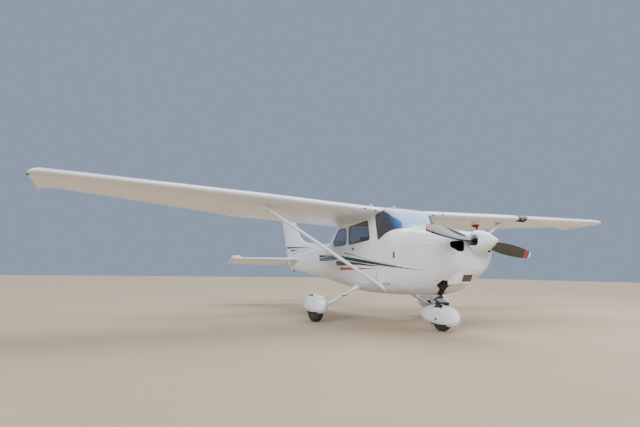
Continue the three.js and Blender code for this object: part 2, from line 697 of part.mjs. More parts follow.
function mainGearParts(bodyOuter) {
  const leg = gearLeg();
  const well = wheelWell(mainWheel, 14).translate([mainWheel.x, mainWheel.station, 0]);
  const hubPlace = point(mainWheel.x, mainWheel.station, mainWheel.radius);
  const legRoom = bar(point(legFoot.x - 200, mainWheel.station, mainWheel.radius + 30), hubPlace, 108, 76);
  const spat = spatShape(mainSpatSections).translate([mainWheel.x, mainWheel.station, 0]);
  return {
    leg: leg.subtract(bodyOuter),
    spat: spat.subtract(well).subtract(legRoom),
    tyre: toAxle(tyre(mainWheel), mainWheel),
    hub: toAxle(hub(mainWheel), mainWheel),
  };
}

// Nose gear: a fixed cylinder, and a fork that turns about the strut's axis
const noseAxis = { foot: point(0, -262, 180), top: point(0, -150, 820) };
const noseAxisAt = (height) => noseAxis.foot.clone().lerp(
  noseAxis.top, (height - noseAxis.foot.z) / (noseAxis.top.z - noseAxis.foot.z),
);

function noseGearParts() {
  const cylinder = bar(noseAxisAt(508), noseAxisAt(800), 34);
  const mounts = join(
    box(point(-70, -205, 730), point(70, -touchGap, 770)),
    box(point(-70, -236, 578), point(70, -touchGap, 612)),
  );
  const piston = bar(noseAxisAt(396), noseAxisAt(500), 23);
  const collar = bar(noseAxisAt(468), noseAxisAt(500), 40);
  const links = join(
    box(point(-16, -180, 468), point(16, -130, 486)),
    bar(point(0, -145, 480), point(0, -72, 446), 13),
    bar(point(0, -72, 446), point(0, -182, 408), 13),
  );
  const spread = 70;
  const crown = box(point(-spread - 14, -310, 396), point(spread + 14, -180, 418));
  const cheek = (side) => {
    const x = side * (spread + 2);
    const low = Math.min(x, x + side * 10);
    return sideCut([[-300, 400], [-190, 400], [-205, 150], [-262, 150]], low, low + 10, 10);
  };
  const axleHalf = 124;
  const axle = (radius) => bar(
    point(-axleHalf, noseWheel.station, noseWheel.radius),
    point(axleHalf, noseWheel.station, noseWheel.radius),
    radius,
  );
  const fork = join(piston, collar, links, crown, cheek(1), cheek(-1), axle(axleRadius));
  const well = wheelWell({ radius: noseWheel.radius, width: 2 * (spread + 6) }, 10).translate([0, noseWheel.station, 0]);
  const spat = spatShape(noseSpatSections).translate([0, noseWheel.station, 0]);
  const crownRoom = box(point(-spread - 15, -316, 300), point(spread + 15, -174, 500));
  return {
    strut: cylinder.add(mounts),
    fork,
    spat: spat.subtract(well).subtract(crownRoom).subtract(axle(axleRadius + touchGap)),
    tyre: toAxle(tyre(noseWheel), noseWheel),
    hub: toAxle(hub(noseWheel), noseWheel),
  };
}

// Propeller, with its blades along X until it is turned to its parked tilt
// Columns: part of the radius, chord, thickness, blade angle in degrees
const bladeCuts = [
  [0.1, 96, 60, 52], [0.17, 104, 46, 46], [0.28, 138, 32, 38], [0.42, 162, 24, 33], [0.6, 164, 18, 27],
  [0.78, 146, 13, 22], [0.92, 114, 9, 18], [0.975, 80, 7, 17], [1, 32, 5, 16],
];

function bladeSolid() {
  const rings = bladeCuts.map(([part, chord, thickness, angle]) => {
    const turn = THREE.MathUtils.degToRad(angle);
    return airfoil(chord, thickness / chord, 0.01, 7, 2).map(([a, h]) => {
      const across = chord * 0.45 - a;
      // The leading edge faces the way that the blade turns, and the cambered face is forward.
      return point(part * propeller.radius, -(across * Math.sin(turn) + h * Math.cos(turn)), across * Math.cos(turn) - h * Math.sin(turn));
    });
  });
  return loft(rings);
}

function propellerParts() {
  const blade = bladeSolid();
  const hubDisc = bar(point(0, -52, 0), point(0, 44, 0), 74, 74, 24);
  const stub = bar(point(-110, 0, 0), point(110, 0, 0), 36);
  const blades = join(blade, blade.rotate([0, 180, 0]), hubDisc, stub);
  const profile = new THREE.Path();
  const tip = spinnerTipStation - propeller.station;
  const base = spinner.baseStation - propeller.station;
  profile.moveTo(0, -base);
  profile.lineTo(spinner.radius, -base);
  profile.lineTo(spinner.radius + 2, -base + 20);
  profile.bezierCurveTo(spinner.radius - 10, 110, 62, 225, 16, -tip - 8);
  profile.quadraticCurveTo(8, -tip, 0, -tip);
  const geometry = new THREE.LatheGeometry(profile.getPoints(5), 28);
  // The lathe's axis points forward.
  geometry.rotateX(Math.PI);
  const cone = solidOf(geometry);
  const bladeRoom = box(point(-300, -96, -78), point(300, 90, 78));
  const hubRoom = bar(point(0, -96, 0), point(0, 90, 0), 84, 84, 24);
  return { blades, spinner: cone.subtract(bladeRoom).subtract(hubRoom) };
}

function placePropeller(solid) {
  return solid.rotate([0, THREE.MathUtils.radToDeg(propeller.tilt), 0])
    .translate([0, propeller.station, propeller.height]);
}

// Cowling with the cooling inlets, the filter frame and the exhaust outlet
const inletOutline = [[206, 1152], [330, 1146], [372, 1188], [372, 1268], [206, 1286]];
const oilDoorOutline = [[-190, -560], [-190, -330], [-370, -330], [-370, -560]];
const exhaustOutline = [[-294, -490], [-287, -600], [-215, -668], [-165, -650], [-150, -520], [-185, -462], [-260, -462]];
const filterFrame = { lowX: -224, highX: -12, foot: 703, top: 843, faceStation: -916, faceSlope: 0.43, rear: -560, rearFoot: 664 };
const filterOpening = { lowX: -190, highX: -30, foot: 733, top: 825 };
const filterFace = (height, behind = 0) => (
  filterFrame.faceStation + (filterFrame.top - height) * filterFrame.faceSlope + behind
);

// The box under the cowl's front that holds the air filter, with a face that leans back
function filterHousing() {
  const { lowX, highX, foot, top, rear, rearFoot } = filterFrame;
  const front = [[lowX, foot], [highX, foot], [highX, top], [lowX, top]];
  const back = [[lowX - 16, rearFoot], [highX + 16, rearFoot], [highX + 16, top], [lowX - 16, top]];
  return loft([
    front.map(([x, height]) => point(x, filterFace(height), height)),
    back.map(([x, height]) => point(x, rear, height)),
  ]);
}

// A slab behind the housing's face, between two depths, inset from the opening's edge
function filterSlab(from, to, inset) {
  const foot = filterOpening.foot + inset;
  const top = filterOpening.top - inset;
  return sideCut([
    [filterFace(foot, from), foot], [filterFace(foot, to), foot], [filterFace(top, to), top], [filterFace(top, from), top],
  ], filterOpening.lowX + inset, filterOpening.highX - inset);
}

function cowlParts() {
  const outer = bodyHull(cowlSections, 0, cowlFace, -touchGap);
  const inner = bodyHull(cowlSections, 18, cowlFace + 18, 10, false);
  let skin = outer.subtract(inner);
  const inlet = frontCut(inletOutline, -1000, -780, 30);
  skin = skin.subtract(inlet).subtract(mirror(inlet));
  skin = skin.subtract(bar(point(0, -1100, propeller.height), point(0, -800, propeller.height), 62, 62, 24));
  const splitFrom = (gap) => [[cowlFace - 50, cowlSplit.front + gap], [50, cowlSplit.rear + gap]];
  const top = sideCut([...splitFrom(touchGap), [50, 1700], [cowlFace - 50, 1700]], -800, 800);
  const bottom = sideCut([...splitFrom(-touchGap), [50, 400], [cowlFace - 50, 400]], -800, 800);
  const oilRoom = planCut(oilDoorOutline, 1250, 1700, 25, moveGap);
  const upper = skin.intersect(top);
  let lower = skin.intersect(bottom);
  lower = lower.add(filterHousing().subtract(inner)).subtract(filterSlab(-20, 160, 0));
  const exhaustRoom = planCut(exhaustOutline, 500, 800, 30);
  const strutRoom = sideCut([[-330, 420], [-130, 420], [-130, 660], [-330, 660]], -90, 90, 20);
  lower = lower.subtract(exhaustRoom).subtract(strutRoom);
  const oilDoor = upper.intersect(planCut(oilDoorOutline, 1250, 1700, 25));
  return { upper: upper.subtract(oilRoom), lower, oilDoor, skinInner: inner };
}

const airFilter = () => filterSlab(14, 44, 5);

// One plain block, with the propeller's shaft and the tubes that hold it to the firewall
function engineBlock() {
  const block = box(point(-320, -700, 905), point(320, -100, 1290));
  const shaft = bar(point(0, -700, propeller.height), point(0, propeller.station + 52, propeller.height), 38);
  const tubes = [];
  for (const x of [-270, 270]) {
    for (const [height, foot] of [[940, 780], [1230, 1330]]) {
      tubes.push(bar(point(x, -110, height), point(x * 1.15, -touchGap, foot), 16));
    }
  }
  return join(block, shaft, ...tubes).subtract(box(point(-600, -touchGap, 400), point(600, 60, 1700)));
}

function exhaustPipe() {
  const path = new THREE.CatmullRomCurve3([
    point(-225, -615, 904.6), point(-225, -615, 860), point(-225, -606, 780), point(-225, -588, 700),
    point(-225, -534, 630), point(-225, -468, 546),
  ]);
  const section = new THREE.Shape().absarc(0, 0, 38, 0, 2 * Math.PI);
  const bore = new THREE.Path().absarc(0, 0, 33, 0, 2 * Math.PI);
  section.holes.push(bore);
  return solidOf(new THREE.ExtrudeGeometry(section, { steps: 9, extrudePath: path, bevelEnabled: false, curveSegments: 3 }));
}

// Cabin fittings
const floorTop = 590;

function cabinFloor() {
  const room = bodyHull(cabinSections, wallThickness + touchGap, 30 + touchGap, cabinEnd - 30 - touchGap, false);
  return room.intersect(box(point(-600, 0, floorTop - 16), point(600, 2260, floorTop)));
}

function instrumentPanel() {
  const board = sideCut([[420, 1010], [452, 1010], [452, 1430], [420, 1430]], -455, 455, 10);
  const shade = sideCut([[250, 1400], [520, 1420], [520, 1448], [250, 1470]], -440, 440, 12);
  const parts = [board, shade];
  for (const x of [-235, 235]) {
    parts.push(bar(point(x, 440, 1210), point(x, 640, 1210), 11));
    parts.push(box(point(x - 130, 630, 1192), point(x + 130, 656, 1228)));
    parts.push(box(point(x - 142, 628, 1196), point(x - 112, 658, 1296)));
    parts.push(box(point(x + 112, 628, 1196), point(x + 142, 658, 1296)));
  }
  parts.push(box(point(-60, 300, floorTop + touchGap), point(60, 446, 1040)));
  return join(...parts);
}

function frontSeat() {
  const x = 240;
  const cushion = sideCut([[930, 820], [1390, 800], [1390, 900], [930, 930]], x - 205, x + 205, 35);
  const back = sideCut([[1340, 800], [1460, 800], [1575, 1370], [1485, 1380]], x - 205, x + 205, 40);
  const rest = sideCut([[1490, 1360], [1570, 1360], [1590, 1500], [1520, 1505]], x - 120, x + 120, 30);
  const frame = box(point(x - 170, 960, floorTop + touchGap), point(x + 170, 1400, 810));
  return join(cushion, back, rest, frame);
}

function rearBench() {
  const cushion = sideCut([[1800, 820], [2230, 800], [2230, 900], [1800, 930]], -425, 425, 35);
  const back = sideCut([[2190, 780], [2300, 790], [2420, 1330], [2330, 1345]], -390, 390, 40);
  const frame = box(point(-380, 1830, floorTop + touchGap), point(380, 2240, 810));
  return join(cushion, back, frame);
}

// Small outside pieces
function pitotMast() {
  const x = 1890;
  const mast = sideCut([[1010, 1880], [1090, 1880], [1080, 1778], [1040, 1778]], x - 9, x + 9, 8);
  const probe = bar(point(x, 905, 1770), point(x, 1085, 1770), 12);
  const cover = bar(point(x, 885, 1770), point(x, 1015, 1770), 26, 30, 12);
  const tag = box(point(x - 7, 900, 1650), point(x + 7, 960, 1763));
  return join(mast, probe, cover, tag);
}

function tailRing() {
  return sideCut([[5735, 838], [5790, 838], [5800, 925], [5725, 925]], -9, 9, 12);
}

// Assembly
const colours = {
  white: ['#e9eaf0', 0.25, 0],
  dark: ['#1d1f22', 0.5, 0.1],
  rubber: ['#161616', 0.85, 0],
  alloy: ['#b9bcc0', 0.35, 0.9],
  steel: ['#8c8f93', 0.4, 0.9],
  glass: ['#28384c', 0.05, 0],
  cloth: ['#4b4a4c', 0.9, 0],
  panel: ['#2a2b2e', 0.7, 0],
  filter: ['#6d5f52', 0.9, 0],
  cover: ['#c42a22', 0.8, 0],
};
const aircraft = new THREE.Group();
const airframe = new THREE.Group();
airframe.position.y = -(spinnerTipStation + rudderTopStation) / 2;
aircraft.add(airframe);

function put(name, solid, colour) {
  const [hex, roughness, metalness] = colours[colour];
  const material = new THREE.MeshStandardMaterial({ color: hex, roughness, metalness });
  const mesh = new THREE.Mesh(geometryOf(solid), material);
  mesh.name = name;
  airframe.add(mesh);
}

// The right side is the left side mirrored.
function putBothSides(name, solid, colour) {
  put(`${name}_left`, solid, colour);
  put(`${name}_right`, mirror(solid), colour);
}

const cabin = cabinParts();
const bodyGrown = bodyHull(cabinSections, -2 * touchGap);
const cabinRoom = bodyHull(cabinSections, wallThickness + moveGap, 40, cabinEnd - 40);
const cowl = cowlParts();
const tail = tailParts();
const wingPieces = wingParts(bodyGrown);
const mainGear = mainGearParts(bodyGrown);
const noseGear = noseGearParts();
const turning = propellerParts();
const elevatorAxis = [0, tailplane.hingeStation, tailplane.height];

function turnAboutX(solid, [x, station, height], angle) {
  return solid.translate([-x, -station, -height]).rotate([angle, 0, 0]).translate([x, station, height]);
}

put('cabin_shell', cabin.shell, 'white');
put('tail_cone', tail.tailCone, 'white');
put('upper_cowl', cowl.upper, 'white');
put('lower_cowl', cowl.lower, 'white');
put('oil_door', cowl.oilDoor, 'white');
put('engine_block', engineBlock(), 'steel');
put('exhaust_pipe', exhaustPipe(), 'dark');
put('air_filter', airFilter(), 'filter');
Object.entries(cabin.panes).forEach(([name, solid]) => put(name, solid, 'glass'));
Object.entries(cabin.doors).forEach(([name, solid]) => put(name, solid, name.includes('glass') ? 'glass' : 'white'));
put('baggage_door', cabin.baggageDoor, 'white');
put('wing_left', wingPieces.leftPanel, 'white');
put('wing_right', mirror(wingPieces.panel), 'white');
put('landing_light_pane', wingPieces.pane, 'glass');
putBothSides('flap', wingPieces.flap, 'white');
putBothSides('aileron', wingPieces.aileron, 'white');
const wingGrown = wingSolid().add(wingSolid().translate([0, 0, -touchGap]));
putBothSides('strut', strut().subtract(bodyGrown).subtract(wingGrown), 'white');
put('fin', tail.finFixed, 'white');
put('rudder', tail.rudder, 'white');
put('stabilizer', tail.stabilizer, 'white');
put('elevator', turnAboutX(tail.elevator, elevatorAxis, -tailplane.droop), 'white');
putBothSides('gear_leg', mainGear.leg, 'white');
putBothSides('main_spat', mainGear.spat, 'white');
putBothSides('main_tyre', mainGear.tyre, 'rubber');
putBothSides('main_hub', mainGear.hub, 'alloy');
put('nose_strut', noseGear.strut, 'alloy');
put('nose_fork', noseGear.fork, 'dark');
put('nose_spat', noseGear.spat, 'white');
put('nose_tyre', noseGear.tyre, 'rubber');
put('nose_hub', noseGear.hub, 'alloy');
put('propeller', placePropeller(turning.blades), 'dark');
put('spinner', placePropeller(turning.spinner), 'white');
put('cabin_floor', cabinFloor(), 'panel');
put('instrument_panel', instrumentPanel().intersect(cabinRoom), 'panel');
putBothSides('seat', frontSeat().intersect(cabinRoom), 'cloth');
put('rear_bench', rearBench().intersect(cabinRoom), 'cloth');
put('pitot_mast', pitotMast().subtract(wingGrown), 'cover');
put('tail_ring', tailRing().subtract(bodyHull(tailSections, -touchGap)), 'steel');

export default aircraft;
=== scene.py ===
"""A four-seat light aircraft with a strut-braced high wing, parked on its nose-wheel gear.

Lengths are millimetres until at() turns them into the frame's metres. X runs to the pilot's left,
stations run aft from the firewall, and heights are above the ground.
"""

import math

import bmesh
import bpy
import numpy as np
from mathutils import Matrix, Vector
from mathutils.bvhtree import BVHTree


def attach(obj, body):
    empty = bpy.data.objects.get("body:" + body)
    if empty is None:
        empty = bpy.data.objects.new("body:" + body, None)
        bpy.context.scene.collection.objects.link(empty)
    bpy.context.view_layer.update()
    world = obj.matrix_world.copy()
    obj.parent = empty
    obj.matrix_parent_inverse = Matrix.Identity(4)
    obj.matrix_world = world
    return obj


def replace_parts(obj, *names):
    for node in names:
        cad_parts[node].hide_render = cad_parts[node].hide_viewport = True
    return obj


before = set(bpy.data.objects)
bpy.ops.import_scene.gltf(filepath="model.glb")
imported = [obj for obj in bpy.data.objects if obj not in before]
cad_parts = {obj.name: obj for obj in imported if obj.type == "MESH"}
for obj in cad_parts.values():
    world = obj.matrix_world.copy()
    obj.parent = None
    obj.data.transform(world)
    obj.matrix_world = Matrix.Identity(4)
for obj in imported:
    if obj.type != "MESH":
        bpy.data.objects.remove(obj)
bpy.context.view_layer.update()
scene = bpy.context.scene

MM = 0.001
FIREWALL_TO_MIDDLE = 2775
CUT, KEEP, ADD = "DIFFERENCE", "INTERSECT", "UNION"
FINISH_PLACES = 4

# Camera, as the photograph has it: place, heading from +Y, pitch and roll in radians, and lens
CAMERA_PLACE = (-4.4061, -8.2216, 0.8316)
CAMERA_HEADING = 0.4318
CAMERA_PITCH = 0.1343
CAMERA_ROLL = 0.0127
CAMERA_LENS = 24.53

# The body's sections. Columns: station, half width, belly, height of the widest place, top,
# belly power, top power. The powers are those of a superellipse.
COWL_SECTIONS = [
    (-962, 240, 906, 1156, 1350, 1.8, 2.2),
    (-935, 298, 850, 1150, 1392, 1.85, 2.3),
    (-860, 356, 786, 1140, 1418, 1.95, 2.4),
    (-680, 418, 690, 1124, 1450, 2.05, 2.5),
    (-380, 471, 570, 1102, 1498, 2.8, 2.7),
    (0, 505, 512, 1080, 1545, 3.6, 2.9),
]
CABIN_SECTIONS = [
    (0, 505, 512, 1080, 1545, 3.6, 2.9),
    (250, 520, 500, 1080, 1575, 4.0, 3.0),
    (440, 528, 494, 1088, 1742, 4.4, 5.0),
    (640, 534, 491, 1096, 1900, 4.6, 9.0),
    (740, 536, 490, 1100, 1940, 4.7, 9.5),
    (1000, 538, 490, 1100, 1976, 4.8, 9.5),
    (1500, 532, 500, 1100, 1966, 4.8, 9.5),
    (1900, 510, 532, 1104, 1916, 4.4, 8.5),
    (2250, 472, 570, 1108, 1838, 3.9, 6.5),
    (2500, 440, 592, 1110, 1730, 3.5, 5.0),
    (2750, 408, 614, 1110, 1612, 3.1, 3.9),
    (3000, 376, 641, 1112, 1516, 2.8, 2.8),
]
TAIL_SECTIONS = [
    (3000, 376, 641, 1112, 1516, 2.8, 2.8),
    (3700, 298, 712, 1118, 1462, 2.6, 2.5),
    (4500, 208, 794, 1122, 1388, 2.4, 2.3),
    (5300, 122, 862, 1120, 1310, 2.3, 2.2),
    (6100, 50, 905, 1110, 1240, 2.2, 2.2),
]
COWL_FACE = -962
CABIN_END = 3000
WALL = 34
PANE = 8
SEAM = 4

# Outlines in side view: station and height of each corner
WINDSHIELD = [(240, 1566), (660, 1374), (748, 1765), (700, 1850), (672, 2100), (60, 2100)]
DOOR = [(738, 640), (1700, 640), (1712, 1250), (1722, 1736), (850, 1752), (742, 1290)]
DOOR_WINDOW = [(914, 1392), (1676, 1348), (1678, 1672), (986, 1726)]
QUARTER_WINDOW = [(1790, 1352), (2430, 1352), (2520, 1440), (2190, 1664), (1794, 1668)]
REAR_WINDOW = [(2300, 1960), (2300, 1700), (2380, 1640), (2890, 1478), (2960, 1480), (2960, 1960)]
BAGGAGE_DOOR = [(2010, 800), (2400, 830), (2400, 1270), (2010, 1270)]
REAR_WINDOW_HALF = 400
DOOR_ROUNDING, DOOR_WINDOW_ROUNDING, QUARTER_ROUNDING, BAGGAGE_ROUNDING = 60, 45, 90, 40
# What is cut through one side of the body reaches from well inside it to well outside it
SIDE_FROM, OUTSIDE = 200, 700
SIDES = (("left", SIDE_FROM, OUTSIDE), ("right", -OUTSIDE, -SIDE_FROM))
COWL_SPLIT = {"front": 1262, "rear": 1198}

# Wing
ROOT_X, KINK_X, END_X = 430, 2550, 5300
CAMBER_PEAK = 0.4
ROOT_CHORD, END_CHORD = 1626, 1090
ROOT_STATION, END_STATION = 630, 730
ROOT_HEIGHT = 1851
DIHEDRAL = 0.0333
ROOT_INCIDENCE, END_INCIDENCE = 4.5, 1.5
WING_THICKNESS, WING_CAMBER = 0.12, 0.02
HALF_SPAN = 5500
FLAP = {"inner": 610, "outer": 2540, "part": 0.74}
AILERON = {"inner": 2560, "outer": 5290, "part": 0.75}
MOVE_GAP = 8

# Tail
FIN_HINGE_FOOT, FIN_HINGE_TOP = (5865, 925), (6517, 2640)
FIN_EDGE_SWEEP, FIN_EDGE_STATION, FIN_ROOT_HEIGHT, FIN_FOOT_HEIGHT = 0.92, 5040, 1420, 1130
FIN_THICKNESS = 0.075
RUDDER_TRAIL_FOOT, RUDDER_TRAIL_TOP, RUDDER_FOOT = (6312, 1300), (6890, 2590), 930
TAIL_HEIGHT, TAIL_HINGE, TAIL_HALF_SPAN = 1168, 5862, 1727
TAIL_THICKNESS, ELEVATOR_DROOP = 0.072, 19
HORN_X, HORN_STATION = 1500, 5704

# Wheels: x, station of the axle, radius, width, rim radius
MAIN_WHEEL = (1274, 1490, 222.5, 160, 84)
NOSE_WHEEL = (0, -235, 180.5, 127, 66)
AXLE_RADIUS = 16

# Propeller
HUB_STATION, HUB_HEIGHT, BLADE_REACH, PARKED_TILT = -1032, 1267, 965, 0.158
SPINNER_TIP, SPINNER_BASE, SPINNER_RADIUS = -1340, -985, 160


ORIGIN = Vector((0, 0, 0))
LEFTWARD = Vector((1, 0, 0))
AFT = Vector((0, 1, 0))
UP = Vector((0, 0, 1))


def at(x, station, height):
    """A point of the frame from x, station and height in millimetres."""
    return Vector((x, station - FIREWALL_TO_MIDDLE, height)) * MM


# Camera
def look_from_the_photograph():
    heading, pitch, roll = CAMERA_HEADING, CAMERA_PITCH, CAMERA_ROLL
    forward = Vector((
        math.sin(heading) * math.cos(pitch),
        math.cos(heading) * math.cos(pitch),
        math.sin(pitch),
    ))
    level = forward.cross(UP).normalized()
    upward = level.cross(forward)
    right = level * math.cos(roll) + upward * math.sin(roll)
    up = upward * math.cos(roll) - level * math.sin(roll)
    data = bpy.data.cameras.new("camera")
    data.lens = CAMERA_LENS
    data.sensor_width = 36
    data.clip_end = 200
    camera = bpy.data.objects.new("camera", data)
    turn = Matrix((right, up, -forward)).transposed().to_4x4()
    camera.matrix_world = Matrix.Translation(CAMERA_PLACE) @ turn
    scene.collection.objects.link(camera)
    scene.camera = camera


look_from_the_photograph()


# Shapes
def skin(rings, closed=True, capped=True):
    """A form whose surface runs through rings of points, with its two ends filled."""
    rows = [[*ring, ring[0]] if closed else ring for ring in rings]
    form = bmesh.new()
    bmesh.ops.create_grid(form, x_segments=len(rows[0]) - 1, y_segments=len(rows) - 1, size=1)
    form.verts.ensure_lookup_table()
    for vertex, place in zip(form.verts, (point for row in rows for point in row)):
        vertex.co = place
    return closed_up(form, capped)


def closed_up(form, capped=True):
    """The form with its seams welded, its open ends filled and its faces pointing outward."""
    bmesh.ops.remove_doubles(form, verts=form.verts, dist=WELD)
    if capped:
        rims = [edge for edge in form.edges if edge.is_boundary]
        bmesh.ops.holes_fill(form, edges=rims, sides=0)
    bmesh.ops.recalc_face_normals(form, faces=form.faces)
    return form


def joined(*forms):
    """One form that holds all the given ones."""
    whole = bmesh.new()
    for form in forms:
        passing = bpy.data.meshes.new("passing")
        form.to_mesh(passing)
        form.free()
        whole.from_mesh(passing)
        bpy.data.meshes.remove(passing)
    return whole


def mirrored(form):
    """The same form on the other side of the aircraft."""
    other = form.copy()
    bmesh.ops.scale(other, vec=(-1, 1, 1), verts=other.verts)
    bmesh.ops.reverse_faces(other, faces=other.faces)
    return other


def paired(form):
    """A form together with its mirror image. The two must not meet."""
    return joined(mirrored(form), form)


def moved(form, offset):
    bmesh.ops.translate(form, vec=offset, verts=form.verts)
    return form


def turned(form, centre, angle, axis):
    bmesh.ops.rotate(form, cent=centre, matrix=Matrix.Rotation(angle, 3, axis), verts=form.verts)
    return form


def softened(form, width, segments=2, angle=30):
    """The form with its sharp edges rounded by a width in millimetres."""
    sharp = [e for e in form.edges if e.is_manifold and e.calc_face_angle(0) > math.radians(angle)]
    bmesh.ops.bevel(
        form, geom=sharp, offset=width * MM, offset_type="OFFSET", segments=segments,
        profile=0.5, affect="EDGES", clamp_overlap=True, material=-1,
    )
    return form


def block(low, high, rounding=0):
    """A straight block between two corners, each given as x, station and height."""
    form = bmesh.new()
    low, high = at(*low), at(*high)
    place = Matrix.Translation((low + high) / 2) @ Matrix.Diagonal((*(high - low), 1))
    bmesh.ops.create_cube(form, size=1, matrix=place)
    return softened(form, rounding) if rounding else form


def bar(start, end, radius, end_radius=None, sides=24, rounding=0):
    """A round bar or cone between two points of the frame."""
    form = bmesh.new()
    along = end - start
    turn = along.to_track_quat("Z", "Y").to_matrix().to_4x4()
    end_radius = radius if end_radius is None else end_radius
    bmesh.ops.create_cone(
        form, cap_ends=True, segments=sides, radius1=radius * MM, radius2=end_radius * MM,
        depth=along.length, matrix=Matrix.Translation((start + end) / 2) @ turn,
    )
    return softened(form, rounding, angle=50) if rounding else form


WELD = 0.00002


def spun(profile, centre, direction, sides=48):
    """A turned form. The profile's columns are radius and distance along the direction."""
    form = bmesh.new()
    direction = direction.normalized()
    aside = direction.orthogonal().normalized()
    points = [
        form.verts.new(centre + aside * radius * MM + direction * along * MM)
        for radius, along in profile
    ]
    lines = [form.edges.new(pair) for pair in zip(points, points[1:])]
    bmesh.ops.spin(
        form, geom=points + lines, cent=centre, axis=direction, angle=2 * math.pi, steps=sides,
        use_merge=True,
    )
    return closed_up(form)


def grown(corners, gap):
    """An outline with each side moved outward."""
    following = corners[1:] + corners[:1]
    area = sum(a[0] * b[1] - b[0] * a[1] for a, b in zip(corners, following))
    side = 1 if area > 0 else -1
    outward = []
    for corner, after in zip(corners, following):
        along = (Vector(after) - Vector(corner)).normalized()
        outward.append(Vector((along.y, -along.x)) * side)
    moved_out = []
    for i, corner in enumerate(corners):
        before, on = outward[i - 1], outward[i]
        moved_out.append(tuple(Vector(corner) + (before + on) * gap / (1 + before.dot(on))))
    return moved_out


def rounded(corners, radius, parts):
    """An outline with each corner turned into an arc."""
    outline = []
    preceding, following = corners[-1:] + corners[:-1], corners[1:] + corners[:1]
    for before, corner, after in zip(preceding, corners, following):
        corner = Vector(corner)
        back = Vector(before) - corner
        on = Vector(after) - corner
        half = back.angle(on) / 2
        reach = min(radius / math.tan(half), back.length * 0.48, on.length * 0.48)
        back.normalize()
        on.normalize()
        middle = corner + (back + on).normalized() * (reach / math.cos(half))
        first = corner + back * reach - middle
        last = corner + on * reach - middle
        sweep = math.atan2(first.cross(last), first.dot(last))
        for k in range(parts + 1):
            c, s = math.cos(sweep * k / parts), math.sin(sweep * k / parts)
            place = (middle.x + first.x * c - first.y * s, middle.y + first.x * s + first.y * c)
            outline.append(place)
    return outline


FACINGS = {
    "side": lambda a, b, depth: at(depth, a, b),
    "front": lambda a, b, depth: at(a, depth, b),
    "plan": lambda a, b, depth: at(a, b, depth),
}


def prism(corners, low, high, facing="side", rounding=0, grow=0, parts=6):
    """An outline pushed straight through, with its corners rounded."""
    return flared(corners, [(low, grow), (high, grow)], facing, rounding, parts)


def flared(corners, levels, facing, rounding, parts=6):
    """An outline pushed through, grown by a gap of its own at each level. Levels are depth and gap."""
    place = FACINGS[facing]
    rings = []
    for depth, gap in levels:
        outline = grown(corners, gap) if gap else corners
        if rounding:
            outline = rounded(outline, max(rounding + gap, 1), parts)
        rings.append([place(a, b, depth) for a, b in outline])
    return skin(rings)


def tube(points, radius, sides, steps=6):
    """A round tube along a smooth path through points."""
    path = smooth_path(points, steps)
    rings = []
    aside = (path[1] - path[0]).orthogonal().normalized()
    for i, place in enumerate(path):
        along = (path[min(i + 1, len(path) - 1)] - path[max(i - 1, 0)]).normalized()
        aside = (aside - along * aside.dot(along)).normalized()
        across = along.cross(aside)
        rings.append([
            place + (aside * math.cos(turn) + across * math.sin(turn)) * radius * MM
            for turn in (2 * math.pi * k / sides for k in range(sides))
        ])
    return skin(rings)


def smooth_path(points, steps):
    """A Catmull-Rom path through points."""
    places = [points[0] * 2 - points[1], *points, points[-1] * 2 - points[-2]]
    path = []
    for a, b, c, d in zip(places, places[1:], places[2:], places[3:]):
        for k in range(steps):
            t = k / steps
            second = (2 * a - 5 * b + 4 * c - d) * t ** 2
            third = (3 * b - a - 3 * c + d) * t ** 3
            path.append(0.5 * (2 * b + (c - a) * t + second + third))
    return [*path, points[-1]]


def bezier(corners, steps):
    """Points of a plane on a cubic curve from the first of four corners to the last."""
    curve = []
    for k in range(steps + 1):
        t = k / steps
        shares = ((1 - t) ** 3, 3 * t * (1 - t) ** 2, 3 * t ** 2 * (1 - t), t ** 3)
        curve.append(tuple(sum(share * place for share, place in zip(shares, row)) for row in zip(*corners)))
    return curve


def value_at(table, where):
    """A row of a table at any place, by the same cubic as the solids use."""
    places = [row[0] for row in table]
    high = next((i for i, place in enumerate(places) if place > where), len(places) - 1)
    low = max(high - 1, 0)
    high = low + 1
    span = places[high] - places[low]
    before = low - 1 if low > 0 else high
    after = high + 1 if high + 1 < len(places) else low
    weight_before = span / 2 / (places[low] - places[before])
    weight_after = span / 2 / (places[after] - places[high])
    p = (where - places[low]) / span
    rows = np.array([table[i] for i in (before, low, high, after)], dtype=float)
    shares = np.array([
        weight_before * (-p ** 3 + 2 * p ** 2 - p),
        (1 + weight_before) * p ** 3
        + (-1.5 - 2 * weight_before) * p ** 2 + (weight_before - 0.5) * p + 1,
        (-1 - weight_after) * p ** 3 + (1.5 + weight_after) * p ** 2 + 0.5 * p,
        weight_after * (p ** 3 - p ** 2),
    ])
    return shares @ rows


def spaced(table, step, first=None, last=None, least=4):
    """Places along a table, close together where its rows are."""
    places = [row[0] for row in table]
    wanted = set()
    for low, high in zip(places, places[1:]):
        parts = max(least, math.ceil((high - low) / step))
        wanted.update(low + (high - low) * k / parts for k in range(parts + 1))
    first = places[0] if first is None else first
    last = places[-1] if last is None else last
    return sorted({first, last, *(place for place in wanted if first < place < last)})


def evenly(outline, count, turn_weight=260):
    """Points along a closed outline, closer together where it turns."""
    loop = np.array([*outline, outline[0]])
    sides = np.diff(loop, axis=0)
    lengths = np.linalg.norm(sides, axis=1)
    headings = np.unwrap(np.arctan2(sides[:, 1], sides[:, 0]))
    whole_turn = 2 * math.pi * np.sign(headings[-1] - headings[0])
    turns = np.abs(np.diff(headings, prepend=headings[-1] - whole_turn))
    measure = np.concatenate([[0], np.cumsum(lengths + turn_weight * turns)])
    wanted = np.linspace(0, measure[-1], count, endpoint=False)
    first, second = (np.interp(wanted, measure, loop[:, column]).tolist() for column in (0, 1))
    return list(zip(first, second))


FINE_STEPS = 1440


